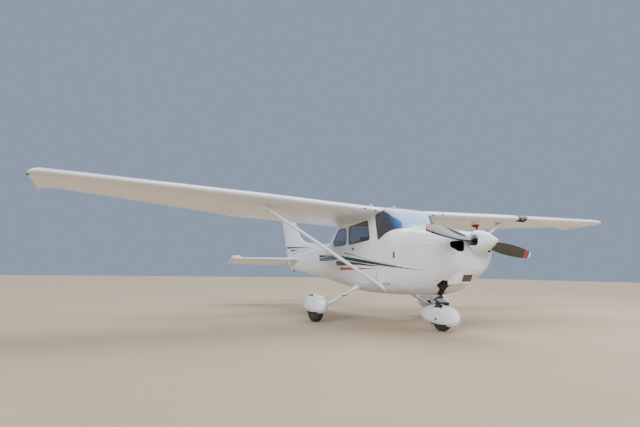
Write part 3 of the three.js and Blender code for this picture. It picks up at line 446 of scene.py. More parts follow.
def body_ring(table, station, inset, count=96):
    """Points round the body at a station, or round a form inside it."""
    _, half_width, belly, widest, top, belly_power, top_power = value_at(table, station)
    outline = []
    for i in range(FINE_STEPS):
        angle = 2 * math.pi * i / FINE_STEPS
        c, s = math.cos(angle), math.sin(angle)
        power = 2 / (top_power if s >= 0 else belly_power)
        rise = top - inset - widest if s >= 0 else widest - belly - inset
        outline.append((
            (half_width - inset) * math.copysign(abs(c) ** power, c),
            widest + rise * math.copysign(abs(s) ** power, s),
        ))
    return [at(x, station, height) for x, height in evenly(outline, count)]


def body_hull(table, inset=0, first=None, last=None, step=70):
    return skin([body_ring(table, station, inset) for station in spaced(table, step, first, last)])


# Pieces
def piece(name, form, body, *finishes, smooth=35):
    """A finished piece from a form, riding on a body of the aircraft."""
    mesh = bpy.data.meshes.new(name)
    form.to_mesh(mesh)
    form.free()
    made = bpy.data.objects.new(name, mesh)
    scene.collection.objects.link(made)
    for finish in finishes:
        mesh.materials.append(finish)
    if body:
        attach(made, body)
    mesh.shade_smooth()
    mesh.set_sharp_from_angle(angle=math.radians(smooth))
    return made


def both(name, form, body, *finishes, replaced=None, smooth=35):
    """A piece on each side of the aircraft, each in place of its side's solid if there is one."""
    for side, sided in (("right", mirrored(form)), ("left", form)):
        made = piece(f"{name}_{side}", sided, body.format(side=side), *finishes, smooth=smooth)
        if replaced:
            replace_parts(made, f"{replaced}_{side}")


def solid(form, finish_index=None):
    """A form as an object for cutting, with one finish for all its faces if an index is given."""
    if finish_index is not None:
        for face in form.faces:
            face.material_index = finish_index
    mesh = bpy.data.meshes.new("cutter")
    form.to_mesh(mesh)
    form.free()
    for _ in range(FINISH_PLACES):
        mesh.materials.append(None)
    cutter = bpy.data.objects.new("cutter", mesh)
    scene.collection.objects.link(cutter)
    return cutter


def evaluated(made):
    """The object's mesh with its modifiers worked in."""
    result = bpy.data.meshes.new_from_object(made.evaluated_get(bpy.context.evaluated_depsgraph_get()))
    made.modifiers.clear()
    return result


def combined(first, second, operation):
    """The form left when a second object is cut from, kept with or added to a first one."""
    boolean = first.modifiers.new("cut", "BOOLEAN")
    boolean.operation = operation
    boolean.solver = "EXACT"
    boolean.object = second
    result = evaluated(first)
    form = bmesh.new()
    form.from_mesh(result)
    bpy.data.meshes.remove(result)
    return form


def discard(*objects):
    for obj in objects:
        mesh = obj.data
        bpy.data.objects.remove(obj)
        bpy.data.meshes.remove(mesh)


def shaped(form, *steps):
    """A form after a row of steps, each one an operation's name and the form to do it with.

    The steps use the forms up, apart from those given as objects.
    """
    for operation, tool in steps:
        finish_index = 0
        if isinstance(tool, tuple):
            tool, finish_index = tool
        kept = isinstance(tool, bpy.types.Object)
        base = solid(form)
        cutter = tool if kept else solid(tool, finish_index)
        form = combined(base, cutter, operation)
        discard(base)
        if not kept:
            discard(cutter)
    return form


def copied(obj):
    """A form with the faces of an object kept for cutting."""
    form = bmesh.new()
    form.from_mesh(obj.data)
    return form


# Node kit for the finishes
def node(tree, kind, inputs=None, **settings):
    """A node with its settings made, and its inputs set to values or linked to sockets."""
    made = tree.nodes.new(kind)
    for key, value in settings.items():
        setattr(made, key, value)
    return fill(tree, made, inputs or {})


def fill(tree, made, values):
    """A node whose named inputs are set to values or linked to sockets."""
    for key, value in values.items():
        entry = made.inputs[key.replace("_", " ") if isinstance(key, str) else key]
        if isinstance(value, bpy.types.NodeSocket):
            tree.links.new(value, entry)
        else:
            entry.default_value = value
    return made


def maths(tree, operation, *values):
    return node(tree, "ShaderNodeMath", dict(enumerate(values)), operation=operation).outputs[0]


def remap(tree, value, from_min, from_max, to_min=0.0, to_max=1.0, soft=True):
    made = node(tree, "ShaderNodeMapRange", {
        "Value": value, "From Min": from_min, "From Max": from_max, "To Min": to_min, "To Max": to_max,
    }, interpolation_type="SMOOTHSTEP" if soft else "LINEAR")
    return made.outputs[0]


def mixed(tree, factor, first, second):
    made = node(tree, "ShaderNodeMix", {0: factor, 6: first, 7: second}, data_type="RGBA")
    return made.outputs[2]


def object_place(tree):
    return node(tree, "ShaderNodeTexCoord").outputs["Object"]


def noise(tree, place, scale, detail):
    made = node(tree, "ShaderNodeTexNoise", {"Vector": place, "Scale": scale, "Detail": detail})
    return made.outputs["Fac"]


def relief(tree, height, strength, distance, **under):
    """A normal from a height, which is worth a distance in metres, over a normal if one is given."""
    inputs = {"Height": height, "Strength": strength, "Distance": distance, **under}
    return node(tree, "ShaderNodeBump", inputs).outputs[0]


def group(name, inputs, outputs):
    """A node group and its two ends. Inputs and outputs are rows of kind, name and default."""
    tree = bpy.data.node_groups.new(name, "ShaderNodeTree")
    for way, rows in (("INPUT", inputs), ("OUTPUT", outputs)):
        for kind, label, *default in rows:
            socket = tree.interface.new_socket(label, in_out=way, socket_type=kind)
            if default:
                socket.default_value = default[0]
    return tree, tree.nodes.new("NodeGroupInput").outputs, tree.nodes.new("NodeGroupOutput").inputs


def use(tree, shared, **inputs):
    """A shared group placed in a material, with its own values."""
    return node(tree, "ShaderNodeGroup", inputs, node_tree=shared).outputs


FLOAT, COLOUR, VECTOR = "NodeSocketFloat", "NodeSocketColor", "NodeSocketVector"


def body_place_group():
    """Where a point is on the aircraft, in millimetres."""
    tree, _, outputs = group("place", [], [(FLOAT, "X"), (FLOAT, "Station"), (FLOAT, "Height")])
    parts = node(tree, "ShaderNodeSeparateXYZ", {0: object_place(tree)}).outputs
    tree.links.new(maths(tree, "MULTIPLY", parts[0], 1000), outputs["X"])
    station = maths(tree, "MULTIPLY_ADD", parts[1], 1000, FIREWALL_TO_MIDDLE)
    tree.links.new(station, outputs["Station"])
    tree.links.new(maths(tree, "MULTIPLY", parts[2], 1000), outputs["Height"])
    return tree


PLACE = body_place_group()


def curve_of(tree, value, points, low, high):
    """A value read from a smooth curve through points, each given as place and value."""
    first, last = points[0][0], points[-1][0]
    start = remap(tree, value, first, last, soft=False)
    made = node(tree, "ShaderNodeFloatCurve", {"Value": start})
    line = made.mapping.curves[0]
    spots = [((place - first) / (last - first), (v - low) / (high - low)) for place, v in points]
    line.points[0].location = spots[0]
    line.points[1].location = spots[-1]
    for spot in spots[1:-1]:
        line.points.new(*spot)
    made.mapping.update()
    return maths(tree, "MULTIPLY_ADD", made.outputs[0], high - low, low)


# Stripes along the body. Each has its colour, its slanted rear edge as two corners of station and
# height, and its upper and lower edges as heights at stations.
BLACK = (0.016, 0.016, 0.02, 1)
RED = (0.46, 0.055, 0.012, 1)
GREY = (0.10, 0.10, 0.11, 1)
# White paint whose slight blue cast is painted light: the sky's tint on the shaded sides
SKY_TINTED_WHITE = (0.80, 0.815, 0.85, 1)
BODY_STRIPES = [
    (BLACK, (3429, 1217), (3372, 1076),
     [(-373, 886), (-130, 906), (189, 944), (613, 995), (914, 1033), (1251, 1074), (1634, 1114), (2105, 1156),
      (2695, 1181), (3440, 1217)],
     [(-373, 881), (-130, 896), (189, 922), (613, 958), (914, 983), (1251, 1013), (1634, 1050), (2105, 1083),
      (2695, 1074), (3440, 1076)]),
    (BLACK, (2358, 1061), (2276, 971),
     [(215, 916), (614, 950), (916, 974), (1437, 1021), (1856, 1047), (2370, 1062)],
     [(215, 911), (614, 941), (916, 950), (1437, 975), (1856, 967), (2370, 971)]),
    (GREY, (1905, 1216), (1888, 1186),
     [(188, 958), (819, 1040), (1250, 1115), (1635, 1179), (1910, 1216)],
     [(188, 953), (819, 1032), (1250, 1103), (1635, 1160), (1910, 1188)]),
    (RED, (2124, 941), (2077, 873),
     [(532, 909), (764, 914), (1259, 917), (1643, 928), (2130, 941)],
     [(532, 905), (764, 906), (1259, 889), (1643, 882), (2130, 873)]),
]
WHITE_LINE = [(2350, 1148), (2600, 1150), (2900, 1162), (3200, 1149), (3440, 1160)]
LIGHT_BLUE = (0.26, 0.46, 0.78, 1)
FIN_STRIPES = [
    (BLACK, (6327, 1543), (6329, 1485), [(4493, 1434), (5400, 1496), (6340, 1544)],
     [(4493, 1428), (5400, 1462), (6340, 1486)]),
    (BLACK, (6002, 1440), (5941, 1385), [(5251, 1424), (6010, 1442)], [(5251, 1418), (6010, 1384)]),
    (LIGHT_BLUE, (6002, 1440), (5941, 1385), [(4500, 1414), (5250, 1372), (6010, 1338)],
     [(4500, 1406), (5250, 1340), (6010, 1296)]),
]


def stripe_mask(tree, station, height, rear_top, rear_foot, upper, lower):
    heights = [row[1] for row in (*upper, *lower)]
    low, high = min(heights) - 20, max(heights) + 20
    under = maths(tree, "LESS_THAN", height, curve_of(tree, station, upper, low, high))
    over = maths(tree, "GREATER_THAN", height, curve_of(tree, station, lower, low, high))
    slope = (rear_top[0] - rear_foot[0]) / (rear_top[1] - rear_foot[1])
    rear = maths(tree, "MULTIPLY_ADD", height, slope, rear_foot[0] - rear_foot[1] * slope)
    ahead = maths(tree, "LESS_THAN", station, rear)
    behind = maths(tree, "GREATER_THAN", station, upper[0][0])
    within = maths(tree, "MULTIPLY", under, over)
    between = maths(tree, "MULTIPLY", ahead, behind)
    return maths(tree, "MULTIPLY", within, between)


def stripes_group(name, stripes, pinstripe=None):
    tree, inputs, outputs = group(name, [(COLOUR, "Paint", SKY_TINTED_WHITE)], [(COLOUR, "Colour")])
    place = use(tree, PLACE)
    station, height = place["Station"], place["Height"]
    colour = inputs["Paint"]
    for stripe_colour, rear_top, rear_foot, upper, lower in stripes:
        mask = stripe_mask(tree, station, height, rear_top, rear_foot, upper, lower)
        colour = mixed(tree, mask, colour, stripe_colour)
    if pinstripe:
        start = pinstripe[0][0]
        line = curve_of(tree, station, pinstripe, 1100, 1200)
        apart = maths(tree, "ABSOLUTE", maths(tree, "SUBTRACT", height, line))
        thin = maths(tree, "LESS_THAN", apart, remap(tree, station, start, 3400, 0.5, 6, soft=False))
        on = maths(tree, "MULTIPLY", thin, maths(tree, "GREATER_THAN", station, start))
        colour = mixed(tree, on, colour, inputs["Paint"])
    tree.links.new(colour, outputs["Colour"])
    return tree


SKIN_RELIEF = 0.0006


def paint_film_group():
    """The small waves of sprayed paint over thin sheet, as a normal, and its patchy gloss."""
    tree, inputs, outputs = group(
        "paint_film",
        [(FLOAT, "Waves", 0.12), (FLOAT, "Gloss", 0.2)],
        [(VECTOR, "Normal"), (FLOAT, "Roughness")],
    )
    place = object_place(tree)
    fine, broad = noise(tree, place, 260, 2), noise(tree, place, 5.5, 2)
    height = maths(tree, "MULTIPLY_ADD", broad, 14, fine)
    tree.links.new(relief(tree, height, inputs["Waves"], SKIN_RELIEF), outputs["Normal"])
    patches = noise(tree, place, 2.4, 5)
    rough = maths(tree, "ADD", inputs["Gloss"], remap(tree, patches, 0.35, 0.75, 0, 0.12))
    tree.links.new(rough, outputs["Roughness"])
    return tree


def grime_group():
    """Dust and streaks that darken a colour, more of them low down."""
    tree, inputs, outputs = group(
        "grime",
        [(COLOUR, "Colour", SKY_TINTED_WHITE), (COLOUR, "Dirt", (0.28, 0.22, 0.15, 1)), (FLOAT, "Amount", 0.3),
         (FLOAT, "Clean above", 900)],
        [(COLOUR, "Colour"), (FLOAT, "Mask")],
    )
    place = object_place(tree)
    stretched = node(tree, "ShaderNodeMapping", {"Vector": place, "Scale": (6, 1.4, 6)}).outputs[0]
    streaks, specks = noise(tree, stretched, 3, 7), noise(tree, place, 60, 3)
    height = use(tree, PLACE)["Height"]
    low = node(tree, "ShaderNodeMapRange", {
        "Value": height, "From Min": inputs["Clean above"], "From Max": 450, "To Min": 0.12, "To Max": 1,
    }).outputs[0]
    spread = maths(tree, "MULTIPLY", remap(tree, streaks, 0.42, 0.75), remap(tree, specks, 0.3, 0.7, 0.6, 1))
    mask = maths(tree, "MULTIPLY", maths(tree, "MULTIPLY", spread, low), inputs["Amount"])
    tree.links.new(mixed(tree, mask, inputs["Colour"], inputs["Dirt"]), outputs["Colour"])
    tree.links.new(mask, outputs["Mask"])
    return tree


def rivet_rows_group():
    """Rows of flush rivets and the lap line beside them, as a height and a faint mask."""
    tree, inputs, outputs = group(
        "rivet_rows",
        [(FLOAT, "Along", 0), (FLOAT, "Across", 0), (FLOAT, "Pitch", 30), (FLOAT, "Rows apart", 400),
         (FLOAT, "Size", 4)],
        [(FLOAT, "Height"), (FLOAT, "Mask")],
    )

    def from_middle(value, span):
        part = maths(tree, "FRACT", maths(tree, "DIVIDE", value, span))
        return maths(tree, "MULTIPLY", maths(tree, "SUBTRACT", part, 0.5), span)

    along = from_middle(inputs["Along"], inputs["Pitch"])
    across = from_middle(inputs["Across"], inputs["Rows apart"])
    squares = [maths(tree, "POWER", part, 2) for part in (along, across)]
    reach = maths(tree, "SQRT", maths(tree, "ADD", *squares))
    edge = maths(tree, "SUBTRACT", inputs["Size"], reach)
    dot = remap(tree, edge, -0.8, 0.8)
    lap = remap(tree, maths(tree, "ABSOLUTE", maths(tree, "ADD", across, 14)), 1.4, 0.5)
    tree.links.new(maths(tree, "SUBTRACT", maths(tree, "MULTIPLY", dot, 0.5), lap), outputs["Height"])
    tree.links.new(maths(tree, "MAXIMUM", maths(tree, "MULTIPLY", dot, 0.35), lap), outputs["Mask"])
    return tree


BODY_STRIPE_PAINT = stripes_group("body_stripes", BODY_STRIPES, WHITE_LINE)
FIN_STRIPE_PAINT = stripes_group("fin_stripes", FIN_STRIPES)
PAINT_FILM = paint_film_group()
GRIME = grime_group()
RIVETS = rivet_rows_group()


def material(name):
    """A new material, with its tree and its Principled shader."""
    made = bpy.data.materials.new(name)
    made.use_nodes = True
    return made, made.node_tree, made.node_tree.nodes["Principled BSDF"]


def dress(tree, shader, **values):
    """The shader's inputs, each set to a value or linked to a socket."""
    fill(tree, shader, values)


def aircraft_paint(name, stripes=None, rows=None, dirt=0.3, clean_above=900, gloss=0.16):
    """White gloss paint. Rows say how its rivets run: along and across axis, pitch, rows apart."""
    made, tree, shader = material(name)
    colour = use(tree, stripes, Paint=SKY_TINTED_WHITE)["Colour"] if stripes else SKY_TINTED_WHITE
    film = use(tree, PAINT_FILM, Waves=0.25, Gloss=gloss)
    normal = film["Normal"]
    if rows:
        along, across, pitch, apart = rows
        place = use(tree, PLACE)
        rivets = use(tree, RIVETS, Along=place[along], Across=place[across], Pitch=pitch, Rows_apart=apart)
        colour = mixed(tree, maths(tree, "MULTIPLY", rivets["Mask"], 0.22), colour, (0.2, 0.2, 0.22, 1))
        normal = relief(tree, rivets["Height"], 0.6, SKIN_RELIEF, Normal=normal)
    dirty = use(tree, GRIME, Colour=colour, Amount=dirt, Clean_above=clean_above)
    dress(tree, shader, Base_Color=dirty["Colour"], Roughness=film["Roughness"], Normal=normal,
          Coat_Weight=0.3, Coat_Roughness=0.08, Specular_IOR_Level=0.4)
    return made


def plain_finish(name, colour, second, scale, roughness, metallic=0.0, bump=0.2, depth=0.0004):
    """A finish with two near colours in patches, patchy gloss and a fine relief."""
    made, tree, shader = material(name)
    place = object_place(tree)
    patches, fine = noise(tree, place, scale, 4), noise(tree, place, scale * 22, 2)
    dress(
        tree, shader, Metallic=metallic,
        Base_Color=mixed(tree, remap(tree, patches, 0.35, 0.68), colour, second),
        Roughness=remap(tree, patches, 0.3, 0.7, roughness * 0.8, roughness * 1.2),
        Normal=relief(tree, fine, bump, depth),
    )
    return made


def clear_pane(name, tint):
    """Clear acrylic with faint polishing marks."""
    made, tree, shader = material(name)
    smears = noise(tree, object_place(tree), 7, 6)
    faint = mixed(tree, remap(tree, smears, 0.45, 0.8, 0, 0.25), tint, (0.85, 0.87, 0.88, 1))
    dress(tree, shader, Base_Color=faint, Roughness=remap(tree, smears, 0.4, 0.8, 0.02, 0.07),
          Transmission_Weight=1.0, IOR=1.45, Coat_Weight=0.4, Coat_Roughness=0.02)
    return made


def sky_painted_pane(name, clear, tint, heights, sides):
    """Acrylic with a painted blue sky reflection, which fades out between two heights and towards its two
    sides, over dark glass whose colour is painted shade of the cabin behind.
    """
    made, tree, shader = material(name)
    smears = noise(tree, object_place(tree), 7, 6)
    where = use(tree, PLACE)
    height = maths(tree, "MULTIPLY_ADD", smears, 60, where["Height"])
    aside = maths(tree, "ABSOLUTE", where["X"])
    # Share of the painted sky reflection over the dark glass, which is painted shade
    share = maths(tree, "MULTIPLY", remap(tree, height, *heights), remap(tree, aside, *sides))
    dress(
        tree, shader, Base_Color=mixed(tree, share, clear, tint),
        Roughness=remap(tree, smears, 0.4, 0.8, 0.02, 0.07),
        Transmission_Weight=0.62, IOR=1.45, Coat_Weight=0.6, Coat_Roughness=0.02,
    )
    return made


BODY_RIVETS = ("Height", "Station", 26, 610)
body_paint = aircraft_paint("body_paint", BODY_STRIPE_PAINT, BODY_RIVETS, dirt=0.35, clean_above=760)
cowl_paint = aircraft_paint("cowl_paint", BODY_STRIPE_PAINT, dirt=0.35, clean_above=760)
wing_paint = aircraft_paint("wing_paint", None, ("Station", "X", 30, 420), dirt=0.25, clean_above=1800)
plain_paint = aircraft_paint("plain_paint", clean_above=600)
spinner_paint = aircraft_paint("spinner_paint", dirt=0.15, gloss=0.05)
cabin_trim = plain_finish("cabin_trim", (0.36, 0.35, 0.33, 1), (0.30, 0.29, 0.28, 1), 6, 0.6)
# Dark finish for the skins' inner faces, and painted shade on the plates and blocks that stand for the side
# slot, the recesses and the wing's air inlets
dark_inside_and_painted_shade = plain_finish("dark_inside_and_painted_shade", (0.09, 0.09, 0.085, 1), (0.05, 0.05, 0.05, 1), 8, 0.55)
rubber_seal = plain_finish("rubber_seal", (0.02, 0.02, 0.022, 1), (0.035, 0.035, 0.035, 1), 20, 0.6)
tyre_rubber = plain_finish(
    "tyre_rubber", (0.022, 0.022, 0.023, 1), (0.045, 0.042, 0.038, 1), 14, 0.75, bump=0.5)
bare_alloy = plain_finish("bare_alloy", (0.62, 0.63, 0.65, 1), (0.5, 0.5, 0.52, 1), 9, 0.34, 1.0)
chrome = plain_finish("chrome", (0.78, 0.79, 0.81, 1), (0.7, 0.71, 0.73, 1), 4, 0.07, 1.0, bump=0.02)
dark_steel = plain_finish("dark_steel", (0.03, 0.03, 0.033, 1), (0.06, 0.055, 0.05, 1), 12, 0.42, 0.3)
engine_iron = plain_finish("engine_iron", (0.16, 0.165, 0.17, 1), (0.08, 0.08, 0.082, 1), 9, 0.5, 0.6)
burnt_steel = plain_finish(
    "burnt_steel", (0.012, 0.009, 0.012, 1), (0.045, 0.03, 0.032, 1), 16, 0.5, 0.5)
panel_black = plain_finish("panel_black", (0.022, 0.022, 0.024, 1), (0.035, 0.035, 0.037, 1), 10, 0.5)
carpet = plain_finish(
    "carpet", (0.05, 0.05, 0.055, 1), (0.08, 0.08, 0.085, 1), 30, 0.95, bump=0.8, depth=0.002)


def corrugated_paint(name, axis, pitch, stripes=None):
    """White paint on thin skin with pressed ribs across the given axis."""
    made, tree, shader = material(name)
    film = use(tree, PAINT_FILM, Waves=0.25, Gloss=0.2)
    along = use(tree, PLACE)[axis]
    part = maths(tree, "FRACT", maths(tree, "DIVIDE", along, pitch))
    rib = remap(tree, maths(tree, "ABSOLUTE", maths(tree, "SUBTRACT", part, 0.5)), 0.13, 0.02)
    ribbed = relief(tree, rib, 1.0, 0.003, Normal=film["Normal"])
    colour = use(tree, stripes, Paint=SKY_TINTED_WHITE)["Colour"] if stripes else SKY_TINTED_WHITE
    dirty = use(tree, GRIME, Colour=colour, Amount=0.3, Clean_above=1800)
    dress(tree, shader, Base_Color=dirty["Colour"], Roughness=film["Roughness"], Normal=ribbed,
          Coat_Weight=0.4, Coat_Roughness=0.1)
    return made


BLADE_TIP, BLADE_BANDS, BAND_HALF = 918, (848, 883), 9


def blade_finish():
    """Black propeller paint with a white tip and two thin red bands."""
    made, tree, shader = material("blade_paint")
    place = object_place(tree)
    hub = at(0, HUB_STATION, HUB_HEIGHT)
    reach = node(tree, "ShaderNodeVectorMath", {0: place, 1: hub}, operation="DISTANCE").outputs["Value"]
    reach = maths(tree, "MULTIPLY", reach, 1000)
    colour = mixed(tree, maths(tree, "GREATER_THAN", reach, BLADE_TIP), BLACK, SKY_TINTED_WHITE)
    for middle in BLADE_BANDS:
        apart = maths(tree, "ABSOLUTE", maths(tree, "SUBTRACT", reach, middle))
        colour = mixed(tree, maths(tree, "LESS_THAN", apart, BAND_HALF), colour, (0.55, 0.04, 0.03, 1))
    chips = noise(tree, place, 90, 4)
    worn = remap(tree, chips, 0.68, 0.72, 0, 0.5)
    dress(
        tree, shader, Base_Color=mixed(tree, worn, colour, (0.3, 0.3, 0.3, 1)),
        Roughness=remap(tree, chips, 0.3, 0.7, 0.14, 0.26), Coat_Weight=0.6, Coat_Roughness=0.06,
    )
    return made


def woven(name, colour, second):
    """Seat cloth with a fine weave."""
    made, tree, shader = material(name)
    place = object_place(tree)
    weave = maths(tree, "MULTIPLY", *(bands(tree, place, 120, 0.6, way) for way in ("X", "Z")))
    patches = noise(tree, place, 9, 4)
    share = maths(tree, "MULTIPLY_ADD", weave, 0.4, remap(tree, patches, 0.35, 0.7, 0, 0.5))
    dress(
        tree, shader, Base_Color=mixed(tree, share, colour, second),
        Normal=relief(tree, weave, 0.5, 0.001), Roughness=0.9, Sheen_Weight=0.25,
    )
    return made


def bands(tree, place, scale, distortion, way):
    """Even waves along one axis."""
    inputs = {"Vector": place, "Scale": scale, "Distortion": distortion}
    return node(tree, "ShaderNodeTexWave", inputs, bands_direction=way).outputs["Fac"]


def coloured_lens(name, colour):
    """Coloured clear plastic with fine ribs round it."""
    made, tree, shader = material(name)
    ribs = bands(tree, object_place(tree), 90, 0, "Z")
    darker = tuple(0.75 * part for part in colour[:3]) + (1,)
    dress(
        tree, shader, Base_Color=mixed(tree, ribs, colour, darker),
        Normal=relief(tree, ribs, 0.5, 0.001), Roughness=0.08, Transmission_Weight=0.6, IOR=1.5,
    )
    return made


surface_paint = corrugated_paint("wing_surface_paint", "X", 82)
rudder_paint = corrugated_paint("rudder_paint", "Height", 95, FIN_STRIPE_PAINT)
elevator_paint = corrugated_paint("elevator_paint", "X", 90)
blade_paint = blade_finish()
seat_cloth = woven("seat_cloth", (0.05, 0.05, 0.055, 1), (0.11, 0.11, 0.115, 1))
cover_red = plain_finish("cover_red", (0.42, 0.03, 0.025, 1), (0.3, 0.025, 0.02, 1), 12, 0.7, bump=0.5)
filter_foam = plain_finish(
    "filter_foam", (0.36, 0.29, 0.24, 1), (0.22, 0.17, 0.14, 1), 40, 0.9, bump=0.8, depth=0.002)
white_plastic = plain_finish("white_plastic", (0.6, 0.6, 0.6, 1), (0.52, 0.52, 0.52, 1), 8, 0.4)
red_lens = coloured_lens("red_lens", (0.7, 0.03, 0.02, 1))
green_lens = coloured_lens("green_lens", (0.02, 0.4, 0.12, 1))
TAIL_RIVETS = ("Height", "Station", 30, 480)
tail_paint = aircraft_paint("tail_paint", FIN_STRIPE_PAINT, TAIL_RIVETS, dirt=0.2)
spat_paint = aircraft_paint("spat_paint", dirt=0.35, clean_above=500)
# The windshield's blue is a painted sky reflection, and its dark glass is painted shade of the cabin behind
# it
windshield_painted_sky = sky_painted_pane(
    "windshield_painted_sky", (0.10, 0.10, 0.11, 1), (0.05, 0.34, 0.86, 1), (1500, 1620), (470, 300),
)
window_clear = clear_pane("window_clear", (0.46, 0.47, 0.49, 1))


# Body
def both_sides(corners, rounding, grow=0):
    """An outline pushed through both sides of the body."""
    return joined(*(prism(corners, low, high, rounding=rounding, grow=grow) for _, low, high in SIDES))


def baggage_room(grow=0):
    return prism(BAGGAGE_DOOR, SIDE_FROM, OUTSIDE, rounding=BAGGAGE_ROUNDING, grow=grow)


def hull_without_ends(table, inset, margin):
    """The inside of a body hull, closed a little way in from its ends."""
    return body_hull(table, inset, table[0][0] + margin, table[-1][0] - margin)


wall_skin = solid(shaped(body_hull(CABIN_SECTIONS), (CUT, (hull_without_ends(CABIN_SECTIONS, WALL, 30), 1))))
pane_skin = solid(shaped(body_hull(CABIN_SECTIONS), (CUT, hull_without_ends(CABIN_SECTIONS, PANE, 10))))
seal_skin = solid(shaped(
    body_hull(CABIN_SECTIONS, -2.5, 10, CABIN_END - 10),
    (CUT, body_hull(CABIN_SECTIONS, 1, 5, CABIN_END - 5)),
))


def rear_window_room(grow=0):
    """Where the rear window goes, between the two posts."""
    return prism(REAR_WINDOW, -REAR_WINDOW_HALF - grow, REAR_WINDOW_HALF + grow, grow=grow)


def cabin_shell():
    form = shaped(
        copied(wall_skin),
        (CUT, (prism(WINDSHIELD, -OUTSIDE, OUTSIDE), 1)),
        (CUT, (rear_window_room(), 1)),
        (CUT, (both_sides(DOOR, DOOR_ROUNDING, SEAM), 1)),
        (CUT, (both_sides(QUARTER_WINDOW, QUARTER_ROUNDING), 1)),
        (CUT, (baggage_room(SEAM), 1)),
    )
    shell = piece("cabin", form, "airframe", body_paint, cabin_trim)
    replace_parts(shell, "cabin_shell")


def pane(name, body, node_name, finish, room):
    """A window in place of its solid: the part of the skin that lies in its room."""
    made = piece(name, shaped(copied(pane_skin), (KEEP, room)), body, finish)
    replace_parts(made, node_name)


def seal(name, body, corners, low, high, rounding, wide=7, inside=6):
    """The thin strip that holds a pane, standing a little proud of the skin."""
    form = shaped(
        copied(seal_skin),
        (KEEP, prism(corners, low, high, rounding=rounding, grow=wide)),
        (CUT, prism(corners, low - 10, high + 10, rounding=rounding, grow=-inside)),
    )
    piece(name, form, body, rubber_seal)


PANE_FIT = -0.4


def panes():
    room = prism(WINDSHIELD, -OUTSIDE, OUTSIDE, grow=PANE_FIT)
    pane("windshield_pane", "airframe", "windshield", windshield_painted_sky, room)
    seal("windshield_seal", "airframe", WINDSHIELD, -OUTSIDE, OUTSIDE, 0, wide=5, inside=5)
    pane("rear_pane", "airframe", "rear_window", window_clear, rear_window_room(PANE_FIT))
    for side, low, high in SIDES:
        room = prism(QUARTER_WINDOW, low, high, rounding=QUARTER_ROUNDING, grow=PANE_FIT)
        pane(f"quarter_pane_{side}", "airframe", f"quarter_window_{side}", window_clear, room)
        room = prism(DOOR_WINDOW, low, high, rounding=DOOR_WINDOW_ROUNDING, grow=PANE_FIT)
        pane(f"door_pane_{side}", f"door_{side}", f"door_glass_{side}", window_clear, room)
        seal(f"quarter_seal_{side}", "airframe", QUARTER_WINDOW, low, high, QUARTER_ROUNDING)
        seal(f"door_seal_{side}", f"door_{side}", DOOR_WINDOW, low, high, DOOR_WINDOW_ROUNDING)


def doors():
    for side, low, high in SIDES:
        form = shaped(
            copied(wall_skin),
            (KEEP, prism(DOOR, low, high, rounding=DOOR_ROUNDING)),
            (CUT, (prism(DOOR_WINDOW, low, high, rounding=DOOR_WINDOW_ROUNDING), 1)),
        )
        made = piece(f"door_panel_{side}", form, f"door_{side}", body_paint, cabin_trim)
        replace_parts(made, f"door_{side}")
    form = shaped(copied(wall_skin), (KEEP, baggage_room()))
    made = piece("baggage_panel", form, "baggage_door", body_paint, cabin_trim)
    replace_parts(made, "baggage_door")


COWL_ROUNDING = 16


def cowl_hull():
    """The cowling's hull, with its front edge rounded off."""
    rings = []
    for turn in (90, 66, 44, 22, 0):
        back = COWL_ROUNDING * (1 - math.sin(math.radians(turn)))
        inward = COWL_ROUNDING * (1 - math.cos(math.radians(turn)))
        rings.append(body_ring(COWL_SECTIONS, COWL_FACE + back, inward))
    for station in spaced(COWL_SECTIONS, 60, COWL_FACE, -1):
        if station > COWL_FACE + COWL_ROUNDING + 4:
            rings.append(body_ring(COWL_SECTIONS, station, 0))
    return skin(rings)


# The cowling's openings: x and height of the inlet's corners, x and station of the others'
INLET = [(206, 1140), (300, 1136), (354, 1190), (350, 1270), (206, 1286)]
OIL_DOOR = [(-190, -560), (-190, -330), (-370, -330), (-370, -560)]
OIL_DOOR_ROUNDING = 25
EXHAUST_OUTLINE = [
    (-294, -490), (-287, -600), (-215, -668), (-165, -650), (-150, -520), (-185, -462), (-260, -462),
]
COWL_WALL = 14
# The air filter's housing under the cowling's front: its face, which leans back, and its opening
FRAME_LOW_X, FRAME_HIGH_X, FRAME_FOOT, FRAME_TOP = -224, -12, 703, 843
FACE_STATION, FACE_SLOPE, HOUSING_REAR, HOUSING_REAR_FOOT = -916, 0.43, -560, 664
OPENING_LOW_X, OPENING_HIGH_X, OPENING_FOOT, OPENING_TOP = -190, -30, 733, 825


def inlets():
    """The two cooling inlets, each with a rounded lip. The levels are station and gap."""
    levels = [(-1000, 12), (-958, 12), (-950, 6), (-940, 2), (-926, 0), (-780, 0)]
    return paired(flared(INLET, levels, "front", rounding=34))


def oil_door_room(grow=0):
    return prism(OIL_DOOR, 1250, 1700, "plan", rounding=OIL_DOOR_ROUNDING, grow=grow)


def cowl_room():
    """The space inside the cowling."""
    return body_hull(COWL_SECTIONS, COWL_WALL, COWL_FACE + 16, 20)


def filter_face(height, behind=0):
    """The station of the housing's face at a height, or of a place behind the face."""
    return FACE_STATION + (FRAME_TOP - height) * FACE_SLOPE + behind


def filter_housing():
    rings = []
    for x_gap, foot, station in ((0, FRAME_FOOT, None), (16, HOUSING_REAR_FOOT, HOUSING_REAR)):
        low, high = FRAME_LOW_X - x_gap, FRAME_HIGH_X + x_gap
        corners = rounded([(low, foot), (high, foot), (high, FRAME_TOP), (low, FRAME_TOP)], 14, 4)
        rings.append([at(x, filter_face(h) if station is None else station, h) for x, h in corners])
    return skin(rings)


